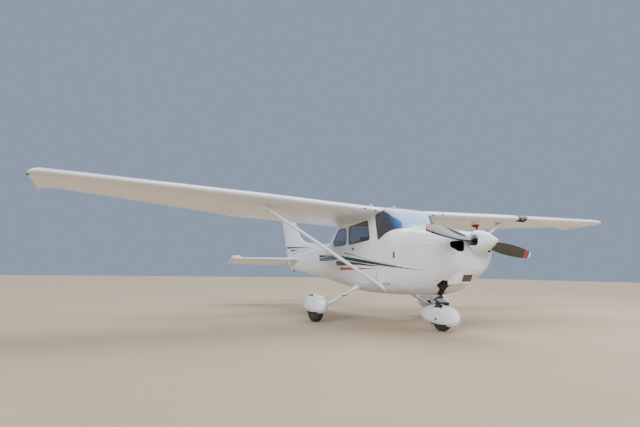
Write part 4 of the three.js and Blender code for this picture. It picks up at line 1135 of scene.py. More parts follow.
def filter_slab(front, rear, inset):
    """A slab between two depths behind the housing's face, inset from the opening's edge."""
    foot, top = OPENING_FOOT + inset, OPENING_TOP - inset
    corners = [
        (filter_face(foot, front), foot), (filter_face(foot, rear), foot),
        (filter_face(top, rear), top), (filter_face(top, front), top),
    ]
    return prism(corners, OPENING_LOW_X + inset, OPENING_HIGH_X - inset)


def split_line(gap, far_height):
    """The side view outline of what lies above or below the cowling's split."""
    front = (COWL_FACE - 50, COWL_SPLIT["front"] + gap)
    rear = (60, COWL_SPLIT["rear"] + gap)
    return [front, rear, (60, far_height), (COWL_FACE - 50, far_height)]


def cowling():
    wall = solid(shaped(
        cowl_hull(),
        (CUT, (cowl_room(), 1)),
        (CUT, (inlets(), 0)),
        (CUT, (bar(at(0, -1100, HUB_HEIGHT), at(0, -800, HUB_HEIGHT), 62), 1)),
    ))
    upper = shaped(
        copied(wall),
        (KEEP, prism(split_line(1, 1700), -800, 800)),
        (CUT, oil_door_room(3)),
    )
    made = piece("cowl_top", upper, "airframe", cowl_paint, dark_inside_and_painted_shade)
    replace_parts(made, "upper_cowl")
    strut_room = prism([(-330, 420), (-130, 420), (-130, 660), (-330, 660)], -90, 90, rounding=20)
    housing = shaped(filter_housing(), (CUT, cowl_room()))
    lower = shaped(
        copied(wall),
        (KEEP, prism(split_line(-1, 400), -800, 800)),
        (ADD, housing),
        (CUT, (filter_slab(-20, 160, 0), 1)),
        (CUT, (prism(EXHAUST_OUTLINE, 500, 800, "plan", rounding=30), 1)),
        (CUT, (strut_room, 1)),
    )
    made = piece("cowl_bottom", lower, "airframe", cowl_paint, dark_inside_and_painted_shade)
    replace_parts(made, "lower_cowl")
    flap = shaped(copied(wall), (KEEP, oil_door_room()))
    made = piece("oil_flap", flap, "oil_door", cowl_paint, dark_inside_and_painted_shade)
    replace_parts(made, "oil_door")
    discard(wall)


# Wing
def airfoil(chord, thickness, camber, steps=26, tail_gap=5):
    """A four-digit section from its upper trailing edge round, along and above its chord line."""
    upper, lower = [], []
    for i in range(steps + 1):
        a = (1 - math.cos(math.pi * i / steps)) / 2
        half = half_thickness(a, thickness)
        mean = mean_line(a, camber)
        opened = a * tail_gap / chord / 2
        upper.append((a * chord, (mean + half + opened) * chord))
        if i:
            lower.append((a * chord, (mean - half - opened) * chord))
    return upper[::-1] + lower


def half_thickness(a, thickness):
    """Half the thickness of a section at a part of its chord, both as parts of the chord."""
    return 5 * thickness * (
        0.2969 * math.sqrt(a) - 0.126 * a - 0.3516 * a ** 2 + 0.2843 * a ** 3 - 0.1036 * a ** 4
    )


def mean_line(a, camber):
    """The height of a section's middle line at a part of its chord."""
    peak = CAMBER_PEAK
    if a < peak:
        return camber / peak ** 2 * (2 * peak * a - a ** 2)
    return camber / (1 - peak) ** 2 * (1 - 2 * peak + 2 * peak * a - a ** 2)


def wing_place(x):
    """Leading edge station, chord, height and incidence at a place along the wing."""
    out = max(0, (x - KINK_X) / (END_X - KINK_X))
    station = ROOT_STATION + out * (END_STATION - ROOT_STATION)
    chord = ROOT_CHORD + out * (END_CHORD - ROOT_CHORD)
    incidence = math.radians(ROOT_INCIDENCE + out * (END_INCIDENCE - ROOT_INCIDENCE))
    return station, chord, ROOT_HEIGHT + x * DIHEDRAL, incidence


def on_wing(x, part, above):
    """A point on the wing's chord line at a part of the chord, and at a height above the line."""
    station, chord, height, incidence = wing_place(x)
    aft = part * chord
    return at(
        x,
        station + aft * math.cos(incidence) + above * math.sin(incidence),
        height - aft * math.sin(incidence) + above * math.cos(incidence),
    )


def wing_ring(x, chord_part=1, thickness_part=1, drop=0, shift=0):
    station, chord, height, incidence = wing_place(x)
    ring = []
    section = airfoil(chord * chord_part, WING_THICKNESS * thickness_part, WING_CAMBER * chord_part)
    for along, above in section:
        aft = along + shift
        droop = drop * (along / chord) ** 2 + (1 - thickness_part) * WING_THICKNESS * chord * 0.45
        ring.append(at(
            x,
            station + aft * math.cos(incidence) + above * math.sin(incidence),
            height - aft * math.sin(incidence) + above - droop,
        ))
    return ring


# Wing tip. Columns: x, part of the chord, part of the thickness, droop at the rear, shift aft.
WING_TIP = [
    (END_X, 1, 1, 0, 0),
    (END_X + 60, 1, 0.98, 6, 2),
    (END_X + 125, 0.975, 0.86, 22, 18),
    (END_X + 170, 0.93, 0.62, 42, 48),
    (HALF_SPAN - 12, 0.83, 0.26, 60, 110),
]
BAY_INNER, BAY_OUTER, BAY_REAR = 2690, 2960, 735
LAMP_XS, LAMP_HEIGHT = (2764, 2886), 1940


def whole_wing():
    rings = [wing_ring(x) for x in (ROOT_X - 60, 1000, 1600, 2100, KINK_X, 3200, 3900, 4600)]
    rings.extend(wing_ring(*value_at(WING_TIP, x)) for x in spaced(WING_TIP, 20, least=3))
    return skin(rings)


def hinge_frame(start, end):
    """Directions along a hinge line, up from it and aft of it."""
    along = (end - start).normalized()
    up = along.cross(AFT).normalized()
    back = up.cross(along).normalized()
    return along, up, back


def behind_hinge(start, end, radii, depth, gap=0, overrun=0):
    """All that lies aft of a hinge line, and a round nose on the line, both grown by a gap."""
    along, up, back = hinge_frame(start, end)
    first = start - along * gap * MM
    last = end + along * (gap + overrun) * MM
    tall = 0.4
    corners = [(0, -tall), (depth * MM, -tall), (depth * MM, tall), (0, tall)]
    slab = skin([[base + back * b + up * u for b, u in corners] for base in (first, last)])
    nose = bar(first, last, radii[0] + gap, radii[1] + gap, sides=40)
    return slab, nose


def split_at_hinge(surface, start, end, radii, depth, overrun=0):
    """The fixed and the moving form on the two sides of a hinge line. The surface is an object."""
    slab, _ = behind_hinge(start, end, radii, depth, overrun=overrun)
    nose = bar(start, end, *radii, sides=40)
    moving = shaped(copied(surface), (KEEP, slab), (ADD, nose))
    room, nose_room = behind_hinge(start, end, radii, depth, MOVE_GAP, overrun)
    fixed_part = shaped(copied(surface), (CUT, room), (CUT, nose_room))
    return fixed_part, moving


def wing_hinge(x, part):
    """A point of a hinge line in the middle of the wing, and half the wing's thickness there."""
    chord = wing_place(x)[1]
    middle = on_wing(x, part, mean_line(part, WING_CAMBER) * chord)
    return middle, half_thickness(part, WING_THICKNESS) * chord


def wing_and_surfaces():
    whole = solid(whole_wing())
    panel = copied(whole)
    for name, surface in (("flap", FLAP), ("aileron", AILERON)):
        start, first_radius = wing_hinge(surface["inner"], surface["part"])
        end, last_radius = wing_hinge(surface["outer"], surface["part"])
        base = solid(panel)
        panel, moving = split_at_hinge(base, start, end, (first_radius, last_radius), 900)
        discard(base)
        both(f"{name}_skin", moving, name + "_{side}", surface_paint, replaced=name)
    panel = shaped(panel, (CUT, body_hull(CABIN_SECTIONS, -1)))
    right = mirrored(panel)
    hollow = skin([wing_ring(x, 1, 0.88, 0, 9) for x in (BAY_INNER + 8, BAY_OUTER - 8)])
    room = block((BAY_INNER, 500, 1700), (BAY_OUTER, BAY_REAR, 2200))
    left = shaped(panel, (CUT, (room, 1)))
    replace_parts(piece("wing_panel_left", left, "airframe", wing_paint, dark_inside_and_painted_shade), "wing_left")
    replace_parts(piece("wing_panel_right", right, "airframe", wing_paint, dark_inside_and_painted_shade), "wing_right")
    window = block((BAY_INNER + 1, 500, 1700), (BAY_OUTER - 1, BAY_REAR - 1, 2200))
    glass = shaped(copied(whole), (KEEP, window), (CUT, hollow))
    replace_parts(piece("landing_light_glass", glass, "airframe", window_clear), "landing_light_pane")
    discard(whole)


# Struts
STRUT_FOOT, STRUT_HEAD = (484, 640, 612), (2515, 905, 1872)
# Columns: part of the length, chord, thickness
STRUT_CUTS = [
    (-0.04, 150, 76), (0.045, 124, 58), (0.075, 106, 50), (0.93, 106, 50), (0.965, 138, 62), (1.02, 200, 78),
]
LEG_ROOT, LEG_FOOT = (345, 1520, 634), (1160, 1490, 240)
LEG_CUTS = [(0, 330, 120), (0.16, 250, 84), (0.27, 172, 56), (0.4, 148, 48), (1, 128, 44)]


def faired_bar(start, end, cuts):
    """A streamlined bar. The columns of its cuts are part of the length, chord and thickness."""
    start, end = at(*start), at(*end)
    along = (end - start).normalized()
    aft = (AFT - along * along.y).normalized()
    up = along.cross(aft)
    rings = []
    parts, chords, thicknesses = zip(*cuts)
    for part in spaced(cuts, 0.2, least=2):
        chord = float(np.interp(part, parts, chords))
        thickness = float(np.interp(part, parts, thicknesses))
        middle = start.lerp(end, part)
        section = airfoil(chord, thickness / chord, 0, 14, 3)
        rings.append([middle + (aft * (a - chord * 0.4) + up * h) * MM for a, h in section])
    return skin(rings)


def strut():
    form = shaped(
        faired_bar(STRUT_FOOT, STRUT_HEAD, STRUT_CUTS),
        (CUT, body_hull(CABIN_SECTIONS, 4)),
        (CUT, whole_wing()),
    )
    lug = prism([(898, 1800), (942, 1800), (938, 1722), (902, 1722)], 2360, 2372, rounding=12)
    hole = bar(at(2350, 920, 1738), at(2380, 920, 1738), 8)
    both("strut_fairing", form, "airframe", plain_paint, replaced="strut")
    both("tie_down_lug", shaped(lug, (CUT, hole)), "airframe", bare_alloy)


# Tail
FIN_TIP = [(2460, 1, 0), (2520, 1, 0), (2590, 0.8, 0), (2640, 0.5, 40), (2664, 0.16, 110)]
# The ridge ahead of the fin. Columns: station, height of the crest, half width at the foot.
RIDGE = [(3640, 1480, 12), (4300, 1530, 30), (4800, 1588, 38), (5110, 1650, 40), (5420, 1800, 30)]
TAILPLANE_EDGES = {"front_root": 5110, "front_end": 5590, "rear_root": 6330, "rear_end": 6270}
# Columns: x, part of the thickness, inset of both edges
TAILPLANE_TIP = [(1600, 1, 0), (1640, 1, 0), (1700, 0.72, 14), (TAIL_HALF_SPAN, 0.3, 45)]
BEACON_STATION = 6420


def fin_ring(height, thickness_part=1, inset=0):
    inset = max(inset, 0)
    lean = (RUDDER_TRAIL_TOP[0] - RUDDER_TRAIL_FOOT[0]) / (RUDDER_TRAIL_TOP[1] - RUDDER_TRAIL_FOOT[1])
    trail = RUDDER_TRAIL_FOOT[0] + (height - RUDDER_TRAIL_FOOT[1]) * lean
    edge = FIN_EDGE_STATION + (height - FIN_ROOT_HEIGHT) * FIN_EDGE_SWEEP
    edge = max(edge, FIN_EDGE_STATION - 20) + inset
    chord = trail - inset * 0.7 - edge
    return [at(h, edge + a, height) for a, h in airfoil(chord, FIN_THICKNESS * thickness_part, 0)]


def fin_form():
    heights = [RUDDER_FOOT, FIN_FOOT_HEIGHT, 1390, FIN_ROOT_HEIGHT, 1600, 1800, 2000, 2200, 2400]
    rings = [fin_ring(height) for height in heights]
    rings.extend(fin_ring(*value_at(FIN_TIP, height)) for height in spaced(FIN_TIP, 10, least=3))
    return skin(rings)


def ridge_form():
    rings = []
    for place in spaced(RIDGE, 90):
        station, top, half = value_at(RIDGE, place)
        shoulder = top - 60 - half
        crest = [
            (half * math.cos(turn), shoulder + (top - shoulder) * math.sin(turn) ** 0.85)
            for turn in (math.pi * k / 16 for k in range(17))
        ]
        rings.append([at(x, station, height) for x, height in [*crest, (-half, 1250), (half, 1250)]])
    return skin(rings)


def tailplane_form():
    edges = TAILPLANE_EDGES
    half = [(0, 1, 0), (400, 1, 0), (800, 1, 0), (1200, 1, 0)]
    half.extend(tuple(value_at(TAILPLANE_TIP, x)) for x in spaced(TAILPLANE_TIP, 12, least=3))
    rows = [(-x, part, inset) for x, part, inset in half[:0:-1]] + half
    rings = []
    for x, part, inset in rows:
        out = abs(x) / TAIL_HALF_SPAN
        front = edges["front_root"] + out * (edges["front_end"] - edges["front_root"]) + inset
        rear = edges["rear_root"] + out * (edges["rear_end"] - edges["rear_root"]) - inset
        outline = airfoil(rear - front, TAIL_THICKNESS * part, 0)
        rings.append([at(x, front + a, TAIL_HEIGHT + h) for a, h in outline])
    return skin(rings)


def tail():
    foot, top = at(0, *FIN_HINGE_FOOT), at(0, *FIN_HINGE_TOP)
    tube_room = solid(prism([
        (TAIL_HINGE - 46, TAIL_HEIGHT - 50), (6500, TAIL_HEIGHT - 330),
        (6500, TAIL_HEIGHT + 370), (TAIL_HINGE - 46, TAIL_HEIGHT + 50),
    ], -200, 200))
    whole = solid(shaped(fin_form(), (ADD, ridge_form())))
    fixed_part, moving = split_at_hinge(whole, foot, top, (30, 24), 700, overrun=200)
    discard(whole)
    low, high = at(0, BEACON_STATION, 2625), at(0, BEACON_STATION, 2678)
    lamp_foot = bar(low, high, 40, 36, sides=40, rounding=3)
    fixed_part = shaped(fixed_part, (CUT, tube_room), (ADD, lamp_foot))
    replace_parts(piece("fin_panel", fixed_part, "airframe", tail_paint), "fin")
    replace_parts(piece("rudder_panel", moving, "rudder", rudder_paint), "rudder")
    slab, nose_room = behind_hinge(foot, top, (30, 24), 700, MOVE_GAP, 200)
    cone = shaped(
        body_hull(TAIL_SECTIONS, step=140), (CUT, (slab, 1)), (CUT, (nose_room, 1)), (CUT, (tube_room, 1)),
    )
    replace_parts(piece("tail_skin", cone, "airframe", body_paint, dark_inside_and_painted_shade), "tail_cone")
    stabilizer_and_elevator()
    discard(tube_room)


def on_tail_hinge(x):
    return at(x, TAIL_HINGE, TAIL_HEIGHT)


def stabilizer_and_elevator():
    plane = solid(tailplane_form())
    hinge = on_tail_hinge(0)
    end = on_tail_hinge(TAIL_HALF_SPAN - 4)
    radii = (35, 24)
    slab, nose_room = behind_hinge(hinge, end, radii, 700, MOVE_GAP)
    sweep = bar(on_tail_hinge(HORN_X), on_tail_hinge(1800), 168, sides=64)
    front = copied(plane)
    for cutter in (slab, nose_room, sweep):
        front = shaped(front, (CUT, mirrored(cutter)), (CUT, cutter))
    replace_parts(piece("stabilizer_panel", front, "airframe", tail_paint), "stabilizer")

    slab, _ = behind_hinge(hinge, end, radii, 700)
    inner = 62
    flare = 0.34
    slot = prism([
        (-inner, TAIL_HINGE + 22), (inner, TAIL_HINGE + 22),
        (inner + 700 * flare, TAIL_HINGE + 722), (-inner - 700 * flare, TAIL_HINGE + 722),
    ], 800, 1500, "plan")
    nose = bar(on_tail_hinge(3), on_tail_hinge(TAIL_HALF_SPAN - 20), *radii, sides=40)
    middle_room = block((-300, 5000, 900), (inner, 6800, 1500))
    half = shaped(copied(plane), (KEEP, slab), (ADD, nose), (CUT, middle_room))
    horn_from, horn_front = HORN_X + MOVE_GAP, HORN_STATION + 18
    horn_end = at(TAIL_HALF_SPAN - 10, horn_front, TAIL_HEIGHT)
    horn_nose = bar(at(horn_from, horn_front, TAIL_HEIGHT), horn_end, 20, 14)
    horn_room = paired(block((horn_from, horn_front, 900), (1800, TAIL_HINGE + 5, 1450)))
    form = shaped(
        paired(half),
        (CUT, slot),
        (ADD, shaped(copied(plane), (KEEP, horn_room))),
        (ADD, paired(horn_nose)),
        (ADD, bar(on_tail_hinge(-160), on_tail_hinge(160), 20)),
    )
    turned(form, hinge, -math.radians(ELEVATOR_DROOP), "X")
    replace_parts(piece("elevator_panel", form, "elevator", elevator_paint), "elevator")
    discard(plane)


# Main gear
# Wheel fairings. Columns: distance aft of the axle, half width, foot, height of the middle, top.
MAIN_SPAT = [
    (-385, 20, 262, 296, 330), (-350, 66, 205, 292, 385), (-260, 108, 158, 290, 434),
    (-120, 130, 140, 290, 464), (40, 132, 140, 290, 472), (200, 118, 150, 290, 456),
    (350, 86, 180, 292, 415), (450, 46, 225, 295, 365), (500, 14, 278, 300, 322),
]
NOSE_SPAT = [
    (-352, 18, 172, 198, 228), (-320, 58, 122, 196, 284), (-230, 96, 84, 196, 342), (-90, 114, 74, 198, 378),
    (80, 114, 76, 202, 380), (230, 104, 88, 206, 366), (370, 78, 120, 212, 330), (450, 44, 158, 220, 290),
    (485, 14, 200, 226, 254),
]


def spat_form(sections, wheel):
    """A wheel fairing. Its sections are placed along stations from the wheel's axle."""
    x, axle = wheel[:2]
    rows = [tuple(value_at(sections, place)) for place in spaced(sections, 26, least=3)]

    def beyond(row, shift, part):
        """A smaller section past an end of the fairing."""
        return row[0] + shift, row[1] * part, *[row[3] + (h - row[3]) * part for h in row[2:]]

    rings = []
    rows = [beyond(rows[0], -5, 0.55), *rows, beyond(rows[-1], 5, 0.5)]
    for place, half_width, bottom, middle, top in rows:
        ring = []
        for turn in (2 * math.pi * i / 56 for i in range(56)):
            c, s = math.cos(turn), math.sin(turn)
            rise = top - middle if s >= 0 else middle - bottom
            ring.append(at(
                x + half_width * math.copysign(abs(c) ** 0.8, c),
                axle + place,
                middle + rise * math.copysign(abs(s) ** 0.8, s),
            ))
        rings.append(ring)
    return skin(rings)


def wheel_well(wheel, half, clear):
    """The room that a wheel needs in its fairing, open below."""
    x, station, radius = wheel[:3]
    reach = radius + clear
    round_room = bar(at(x - half, station, radius), at(x + half, station, radius), reach, sides=64)
    low = (x - half, station - reach * 0.92, -50)
    high = (x + half, station + reach * 0.92, radius * 0.75)
    return shaped(round_room, (ADD, block(low, high)))


def tyre_form(wheel):
    """A tyre with three grooves round its tread."""
    x, station, radius, width, rim = wheel
    half = width / 2
    side = bezier([(rim, 0.62), (rim + 20, 1.12), (radius - 12, 1.22), (radius - 2, 0.42)], 6)
    depth = 4
    groove = 0.045
    tread = []
    for middle in (0.27, 0):
        edge = radius - 2 * (middle + groove) / 0.42
        tread.extend([(edge, middle + groove), (edge - depth, middle + groove * 0.6)])
        if middle:
            tread.extend([(edge - depth, middle - groove * 0.6), (edge, middle - groove)])
    right = [(r, a * half) for r, a in side + tread]
    profile = right + [(r, -a) for r, a in right[::-1]]
    profile.append(profile[0])
    return spun(profile, at(x, station, radius), LEFTWARD, sides=38)


def hub_form(wheel):
    """A wheel's two rim flanges, its web and its bearing cap."""
    x, station, radius, width, rim = wheel
    half = width * 0.31
    edge = rim - 0.5
    outer = [
        (17.5, half + 2), (26, half + 2), (30, half - 6), (34, half - 12),
        (edge - 22, half - 16), (edge - 12, half - 4), (edge - 4, half), (edge, half + 4),
    ]
    profile = [*outer, *((r, -along) for r, along in outer[::-1]), outer[0]]
    return spun(profile, at(x, station, radius), LEFTWARD)


def gear_leg():
    leg = shaped(faired_bar(LEG_ROOT, LEG_FOOT, LEG_CUTS), (CUT, body_hull(CABIN_SECTIONS, 4)))
    bracket = block((1130, 1440, 190), (1156, 1540, 262), rounding=4)
    wheel_x, wheel_station, wheel_radius = MAIN_WHEEL[:3]
    inner = at(LEG_FOOT[0] - 26, wheel_station, wheel_radius)
    axle = bar(inner, at(wheel_x + 56, wheel_station, wheel_radius), AXLE_RADIUS)
    leg = shaped(leg, (ADD, bracket), (ADD, axle))
    both("gear_leg_fairing", leg, "airframe", plain_paint, replaced="gear_leg")
    middle = at(*LEG_ROOT).lerp(at(*LEG_FOOT), 0.5)
    x, station, height = middle.x / MM, middle.y / MM + FIREWALL_TO_MIDDLE, middle.z / MM
    pad = prism([
        (x - 40, station - 130), (x + 40, station - 130), (x + 46, station - 20), (x - 46, station - 20),
    ], height - 6, height + 6, "plan", rounding=14)
    both("step_pad", softened(pad, 1.5), "airframe", rubber_seal)


def main_gear():
    gear_leg()
    well = wheel_well(MAIN_WHEEL, MAIN_WHEEL[3] / 2 + 14, 14)
    x, station, radius = MAIN_WHEEL[:3]
    leg_room = bar(at(LEG_FOOT[0] - 200, station, radius + 30), at(x, station, radius), 108, 76, sides=48)
    form = shaped(spat_form(MAIN_SPAT, MAIN_WHEEL), (CUT, (well, 1)), (CUT, (leg_room, 1)))
    both("main_fairing", form, "airframe", spat_paint, dark_inside_and_painted_shade, replaced="main_spat")
    both("main_tyre_skin", tyre_form(MAIN_WHEEL), "main_wheel_{side}", tyre_rubber, replaced="main_tyre")
    both("main_hub_casting", hub_form(MAIN_WHEEL), "main_wheel_{side}", bare_alloy, replaced="main_hub")


# Nose gear
NOSE_AXIS_FOOT, NOSE_AXIS_TOP = (0, -262, 180), (0, -150, 820)


def on_nose_axis(height):
    """The point of the nose gear's slanted axis at a height."""
    foot, top = at(*NOSE_AXIS_FOOT), at(*NOSE_AXIS_TOP)
    return foot.lerp(top, (height - NOSE_AXIS_FOOT[2]) / (NOSE_AXIS_TOP[2] - NOSE_AXIS_FOOT[2]))


def nose_axle(reach, radius, rounding=0):
    _, station, height = NOSE_WHEEL[:3]
    return bar(at(-reach, station, height), at(reach, station, height), radius, rounding=rounding)


def nose_gear():
    cylinder = bar(on_nose_axis(508), on_nose_axis(800), 34, sides=48, rounding=3)
    cylinder = shaped(
        cylinder,
        (ADD, bar(on_nose_axis(508), on_nose_axis(530), 38, sides=48, rounding=2)),
        (ADD, block((-70, -205, 730), (70, -1, 770), rounding=6)),
        (ADD, block((-70, -236, 578), (70, -1, 612), rounding=6)),
    )
    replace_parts(piece("oleo_cylinder", cylinder, "airframe", plain_paint), "nose_strut")
    piston = bar(on_nose_axis(396), on_nose_axis(500), 23, sides=48)
    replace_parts(piece("oleo_piston", piston, "nose_gear", chrome), "nose_fork")
    collar = shaped(
        bar(on_nose_axis(468), on_nose_axis(500), 40, sides=48, rounding=3),
        (ADD, block((-16, -180, 468), (16, -130, 486), rounding=3)),
    )
    piece("steering_collar", collar, "nose_gear", dark_steel)
    for name, high, low in (("upper_link", (-145, 480), (-72, 446)), ("lower_link", (-72, 446), (-182, 408))):
        for x in (-11, 11):
            form = bar(at(x, *high), at(x * 0.6, *low), 6, sides=16)
            piece(f"{name}_{'left' if x > 0 else 'right'}", form, "nose_gear", dark_steel)
    crown = block((-84, -310, 396), (84, -180, 418), rounding=6)
    cheek = prism([(-300, 400), (-190, 400), (-205, 150), (-262, 150)], 72, 82, rounding=10)
    form = shaped(crown, (ADD, paired(softened(cheek, 2))), (ADD, nose_axle(124, AXLE_RADIUS, 2)))
    piece("nose_fork_legs", form, "nose_gear", dark_steel)
    form = shaped(
        spat_form(NOSE_SPAT, NOSE_WHEEL),
        (CUT, (wheel_well(NOSE_WHEEL, 86, 10), 1)),
        (CUT, (block((-85, -316, 300), (85, -174, 500)), 1)),
        (CUT, (nose_axle(200, AXLE_RADIUS + 1), 1)),
    )
    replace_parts(piece("nose_fairing", form, "nose_gear", plain_paint, dark_inside_and_painted_shade), "nose_spat")
    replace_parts(piece("nose_tyre_skin", tyre_form(NOSE_WHEEL), "nose_wheel", tyre_rubber), "nose_tyre")
    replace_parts(piece("nose_hub_casting", hub_form(NOSE_WHEEL), "nose_wheel", bare_alloy), "nose_hub")


# Propeller
# Columns: part of the radius, chord, thickness, blade angle in degrees
BLADE_CUTS = [
    (0.1, 96, 60, 52), (0.17, 104, 46, 46), (0.28, 138, 32, 38), (0.42, 162, 24, 33), (0.6, 164, 18, 27),
    (0.78, 146, 13, 22), (0.92, 114, 9, 18), (0.975, 80, 7, 17), (1, 32, 5, 16),
]


def blade_form():
    """One blade, along X from the hub's middle at the origin."""
    rings = []
    for part in spaced(BLADE_CUTS, 0.03, least=4):
        _, chord, thickness, angle = value_at(BLADE_CUTS, part)
        turn = math.radians(angle)
        ring = []
        for a, h in airfoil(chord, thickness / chord, 0.01, 12, 2):
            across = chord * 0.45 - a
            forward = across * math.sin(turn) + h * math.cos(turn)
            rise = across * math.cos(turn) - h * math.sin(turn)
            ring.append(Vector((part * BLADE_REACH, -forward, rise)) * MM)
        rings.append(ring)
    return skin(rings)


def at_hub(form):
    """A form made round the origin, put at the hub with the propeller's parked tilt."""
    turned(form, ORIGIN, PARKED_TILT, "Y")
    return moved(form, at(0, HUB_STATION, HUB_HEIGHT))


def propeller():
    blade = blade_form()
    other = turned(blade.copy(), ORIGIN, math.pi, "Y")
    hub = spun([(0, -44), (70, -44), (74, -40), (74, 48), (70, 52), (0, 52)], ORIGIN, -AFT)
    stub = bar(Vector((-0.11, 0, 0)), Vector((0.11, 0, 0)), 36, sides=40)
    form = shaped(hub, (ADD, stub), (ADD, blade), (ADD, other))
    made = piece("propeller_blades", at_hub(form), "propeller", blade_paint)
    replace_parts(made, "propeller")

    tip, base = HUB_STATION - SPINNER_TIP, HUB_STATION - SPINNER_BASE
    curve = bezier([(162, base + 20), (150, 110), (62, 225), (16, tip - 8)], 18)
    foot = [(0, base), (156, base), (SPINNER_RADIUS, base + 4)]
    profile = [*foot, *curve, (11, tip - 3.5), (6, tip - 0.8), (0, tip)]
    shell = spun(profile, ORIGIN, -AFT, sides=72)
    inside = spun([(0, -60), (146, -60), (146, 40), (108, 120), (0, 200)], ORIGIN, -AFT)
    opening = prism([(-96, -78), (90, -78), (90, 78), (-96, 78)], -300, 300, rounding=50)
    opening = moved(opening, -at(0, 0, 0))
    form = shaped(shell, (CUT, (inside, 1)), (CUT, (opening, 1)))
    made = piece("spinner_shell", at_hub(form), "propeller", spinner_paint, dark_inside_and_painted_shade)
    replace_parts(made, "spinner")


# Engine bay
def engine_bay():
    block_form = block((-320, -700, 905), (320, -100, 1290), rounding=28)
    shaft = bar(at(0, -700, HUB_HEIGHT), at(0, HUB_STATION + 52, HUB_HEIGHT), 38, sides=32)
    form = shaped(block_form, (ADD, shaft))
    for x in (-270, 270):
        for height, foot in ((940, 780), (1230, 1330)):
            form = shaped(form, (ADD, bar(at(x, -110, height), at(x * 1.15, -1, foot), 16, sides=20)))
    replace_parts(piece("engine_casting", form, "airframe", engine_iron), "engine_block")
    exhaust()
    filter_pleats()


EXHAUST_X = -225
# The exhaust pipe's middle line. Columns: station and height.
EXHAUST_LINE = [(-615, 904.6), (-615, 860), (-606, 780), (-588, 700), (-534, 630), (-468, 546)]


def exhaust():
    """The pipe, and a slightly longer bore inside it."""
    bore_line = [(-615, 930), *EXHAUST_LINE[1:-1], (-460, 536)]
    outer, bore = (
        tube([at(EXHAUST_X, *place) for place in line], radius, sides=32)
        for line, radius in ((EXHAUST_LINE, 38), (bore_line, 34))
    )
    form = shaped(outer, (CUT, bore))
    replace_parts(piece("exhaust_tube", form, "airframe", burnt_steel), "exhaust_pipe")


def filter_pleats():
    """The air filter's slats, in a frame that leans with the housing's face."""
    frame_form = softened(shaped(filter_slab(14, 44, 6), (CUT, filter_slab(0, 60, 14))), 1)
    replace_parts(piece("filter_frame", frame_form, "airframe", filter_foam, smooth=20), "air_filter")
    low, high = OPENING_LOW_X + 12, OPENING_HIGH_X - 12
    slats = []
    for height in (746, 763, 780, 797, 814):
        front, rear = filter_face(height, 17), filter_face(height, 40)
        corners = [(front, height - 5), (rear, height + 5), (rear, height + 7), (front, height - 3)]
        slats.append(prism(corners, low, high))
    slats.append(filter_slab(40, 43, 12))
    piece("filter_slats", joined(*slats), "airframe", filter_foam, smooth=20)


# Cabin
FLOOR_TOP = 590
# Dials on the panel. Columns: x, height, radius.
DIALS = [
    (380, 1345, 38), (290, 1345, 38), (200, 1345, 38), (380, 1250, 38), (290, 1250, 38), (200, 1250, 38),
    (110, 1345, 30), (110, 1265, 30), (-250, 1350, 24), (-310, 1350, 24), (-370, 1350, 24), (-280, 1285, 30),
]


RADIO_FEET = (1350, 1300, 1250, 1200)


def room_inside(margin):
    return body_hull(CABIN_SECTIONS, WALL + margin, 40, CABIN_END - 40, step=160)


def cabin_floor():
    form = shaped(
        body_hull(CABIN_SECTIONS, WALL + 1, 31, CABIN_END - 31, step=160),
        (KEEP, block((-600, 0, FLOOR_TOP - 16), (600, 2260, FLOOR_TOP))),
    )
    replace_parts(piece("carpet", form, "airframe", carpet), "cabin_floor")


def yoke(x):
    shaft = bar(at(x, 448, 1210), at(x, 640, 1210), 11, sides=24)
    grip = prism([
        (x - 142, 1296), (x - 142, 1200), (x - 112, 1192), (x + 112, 1192), (x + 142, 1200), (x + 142, 1296),
        (x + 114, 1296), (x + 112, 1240), (x + 60, 1228), (x - 60, 1228), (x - 112, 1240), (x - 114, 1296),
    ], 630, 656, "front", rounding=14)
    return shaped(softened(grip, 5, segments=3), (ADD, shaft))


def panel():
    board = prism([(420, 1010), (452, 1010), (452, 1430), (420, 1430)], -455, 455, rounding=10)
    shade = prism([(250, 1400), (520, 1420), (520, 1448), (250, 1470)], -440, 440, rounding=12)
    pedestal = block((-60, 300, FLOOR_TOP + 1), (60, 446, 1040), rounding=8)
    form = shaped(board, (ADD, shade), (ADD, pedestal), (KEEP, room_inside(8)))
    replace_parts(piece("panel_board", form, "airframe", panel_black), "instrument_panel")
    for i, x in enumerate((-235, 235)):
        piece(f"yoke_{i}", yoke(x), "airframe", panel_black)
    rims, faces, needles = [], [], []
    for i, (x, height, radius) in enumerate(DIALS):
        middle = at(x, 452, height)
        inner = radius - 5
        rim = [(radius, -1), (radius, 4), (radius - 4, 5), (inner, 1), (inner, -1), (radius, -1)]
        rims.append(spun(rim, middle, AFT, sides=32))
        faces.append(spun([(0, -1), (inner, -1), (inner, 1), (0, 1)], middle, AFT, sides=32))
        needle = block((x - 1.5, 453.5, height - 6), (x + 1.5, 454.5, height + radius * 0.7))
        needles.append(turned(needle, middle, i * 2.1, "Y"))
    piece("dial_rims", joined(*rims), "airframe", rubber_seal)
    piece("dial_faces", joined(*faces), "airframe", panel_black)
    piece("dial_needles", joined(*needles), "airframe", white_plastic)
    boxes = [block((-62, 446, low), (62, 456, low + 44), rounding=2) for low in RADIO_FEET]
    piece("radio_faces", joined(*boxes), "airframe", dark_steel)
    knobs = []
    for height in (low + 22 for low in RADIO_FEET):
        for x in (-48, 48):
            knobs.append(bar(at(x, 454, height), at(x, 468, height), 8, 7, sides=20, rounding=1))
    for x in (-30, 0, 30):
        knobs.append(bar(at(x, 452, 1120), at(x, 492, 1120), 5, sides=16))
        knobs.append(bar(at(x, 486, 1120), at(x, 506, 1120), 14, 12, sides=24, rounding=2))
    piece("panel_knobs", joined(*knobs), "airframe", rubber_seal)


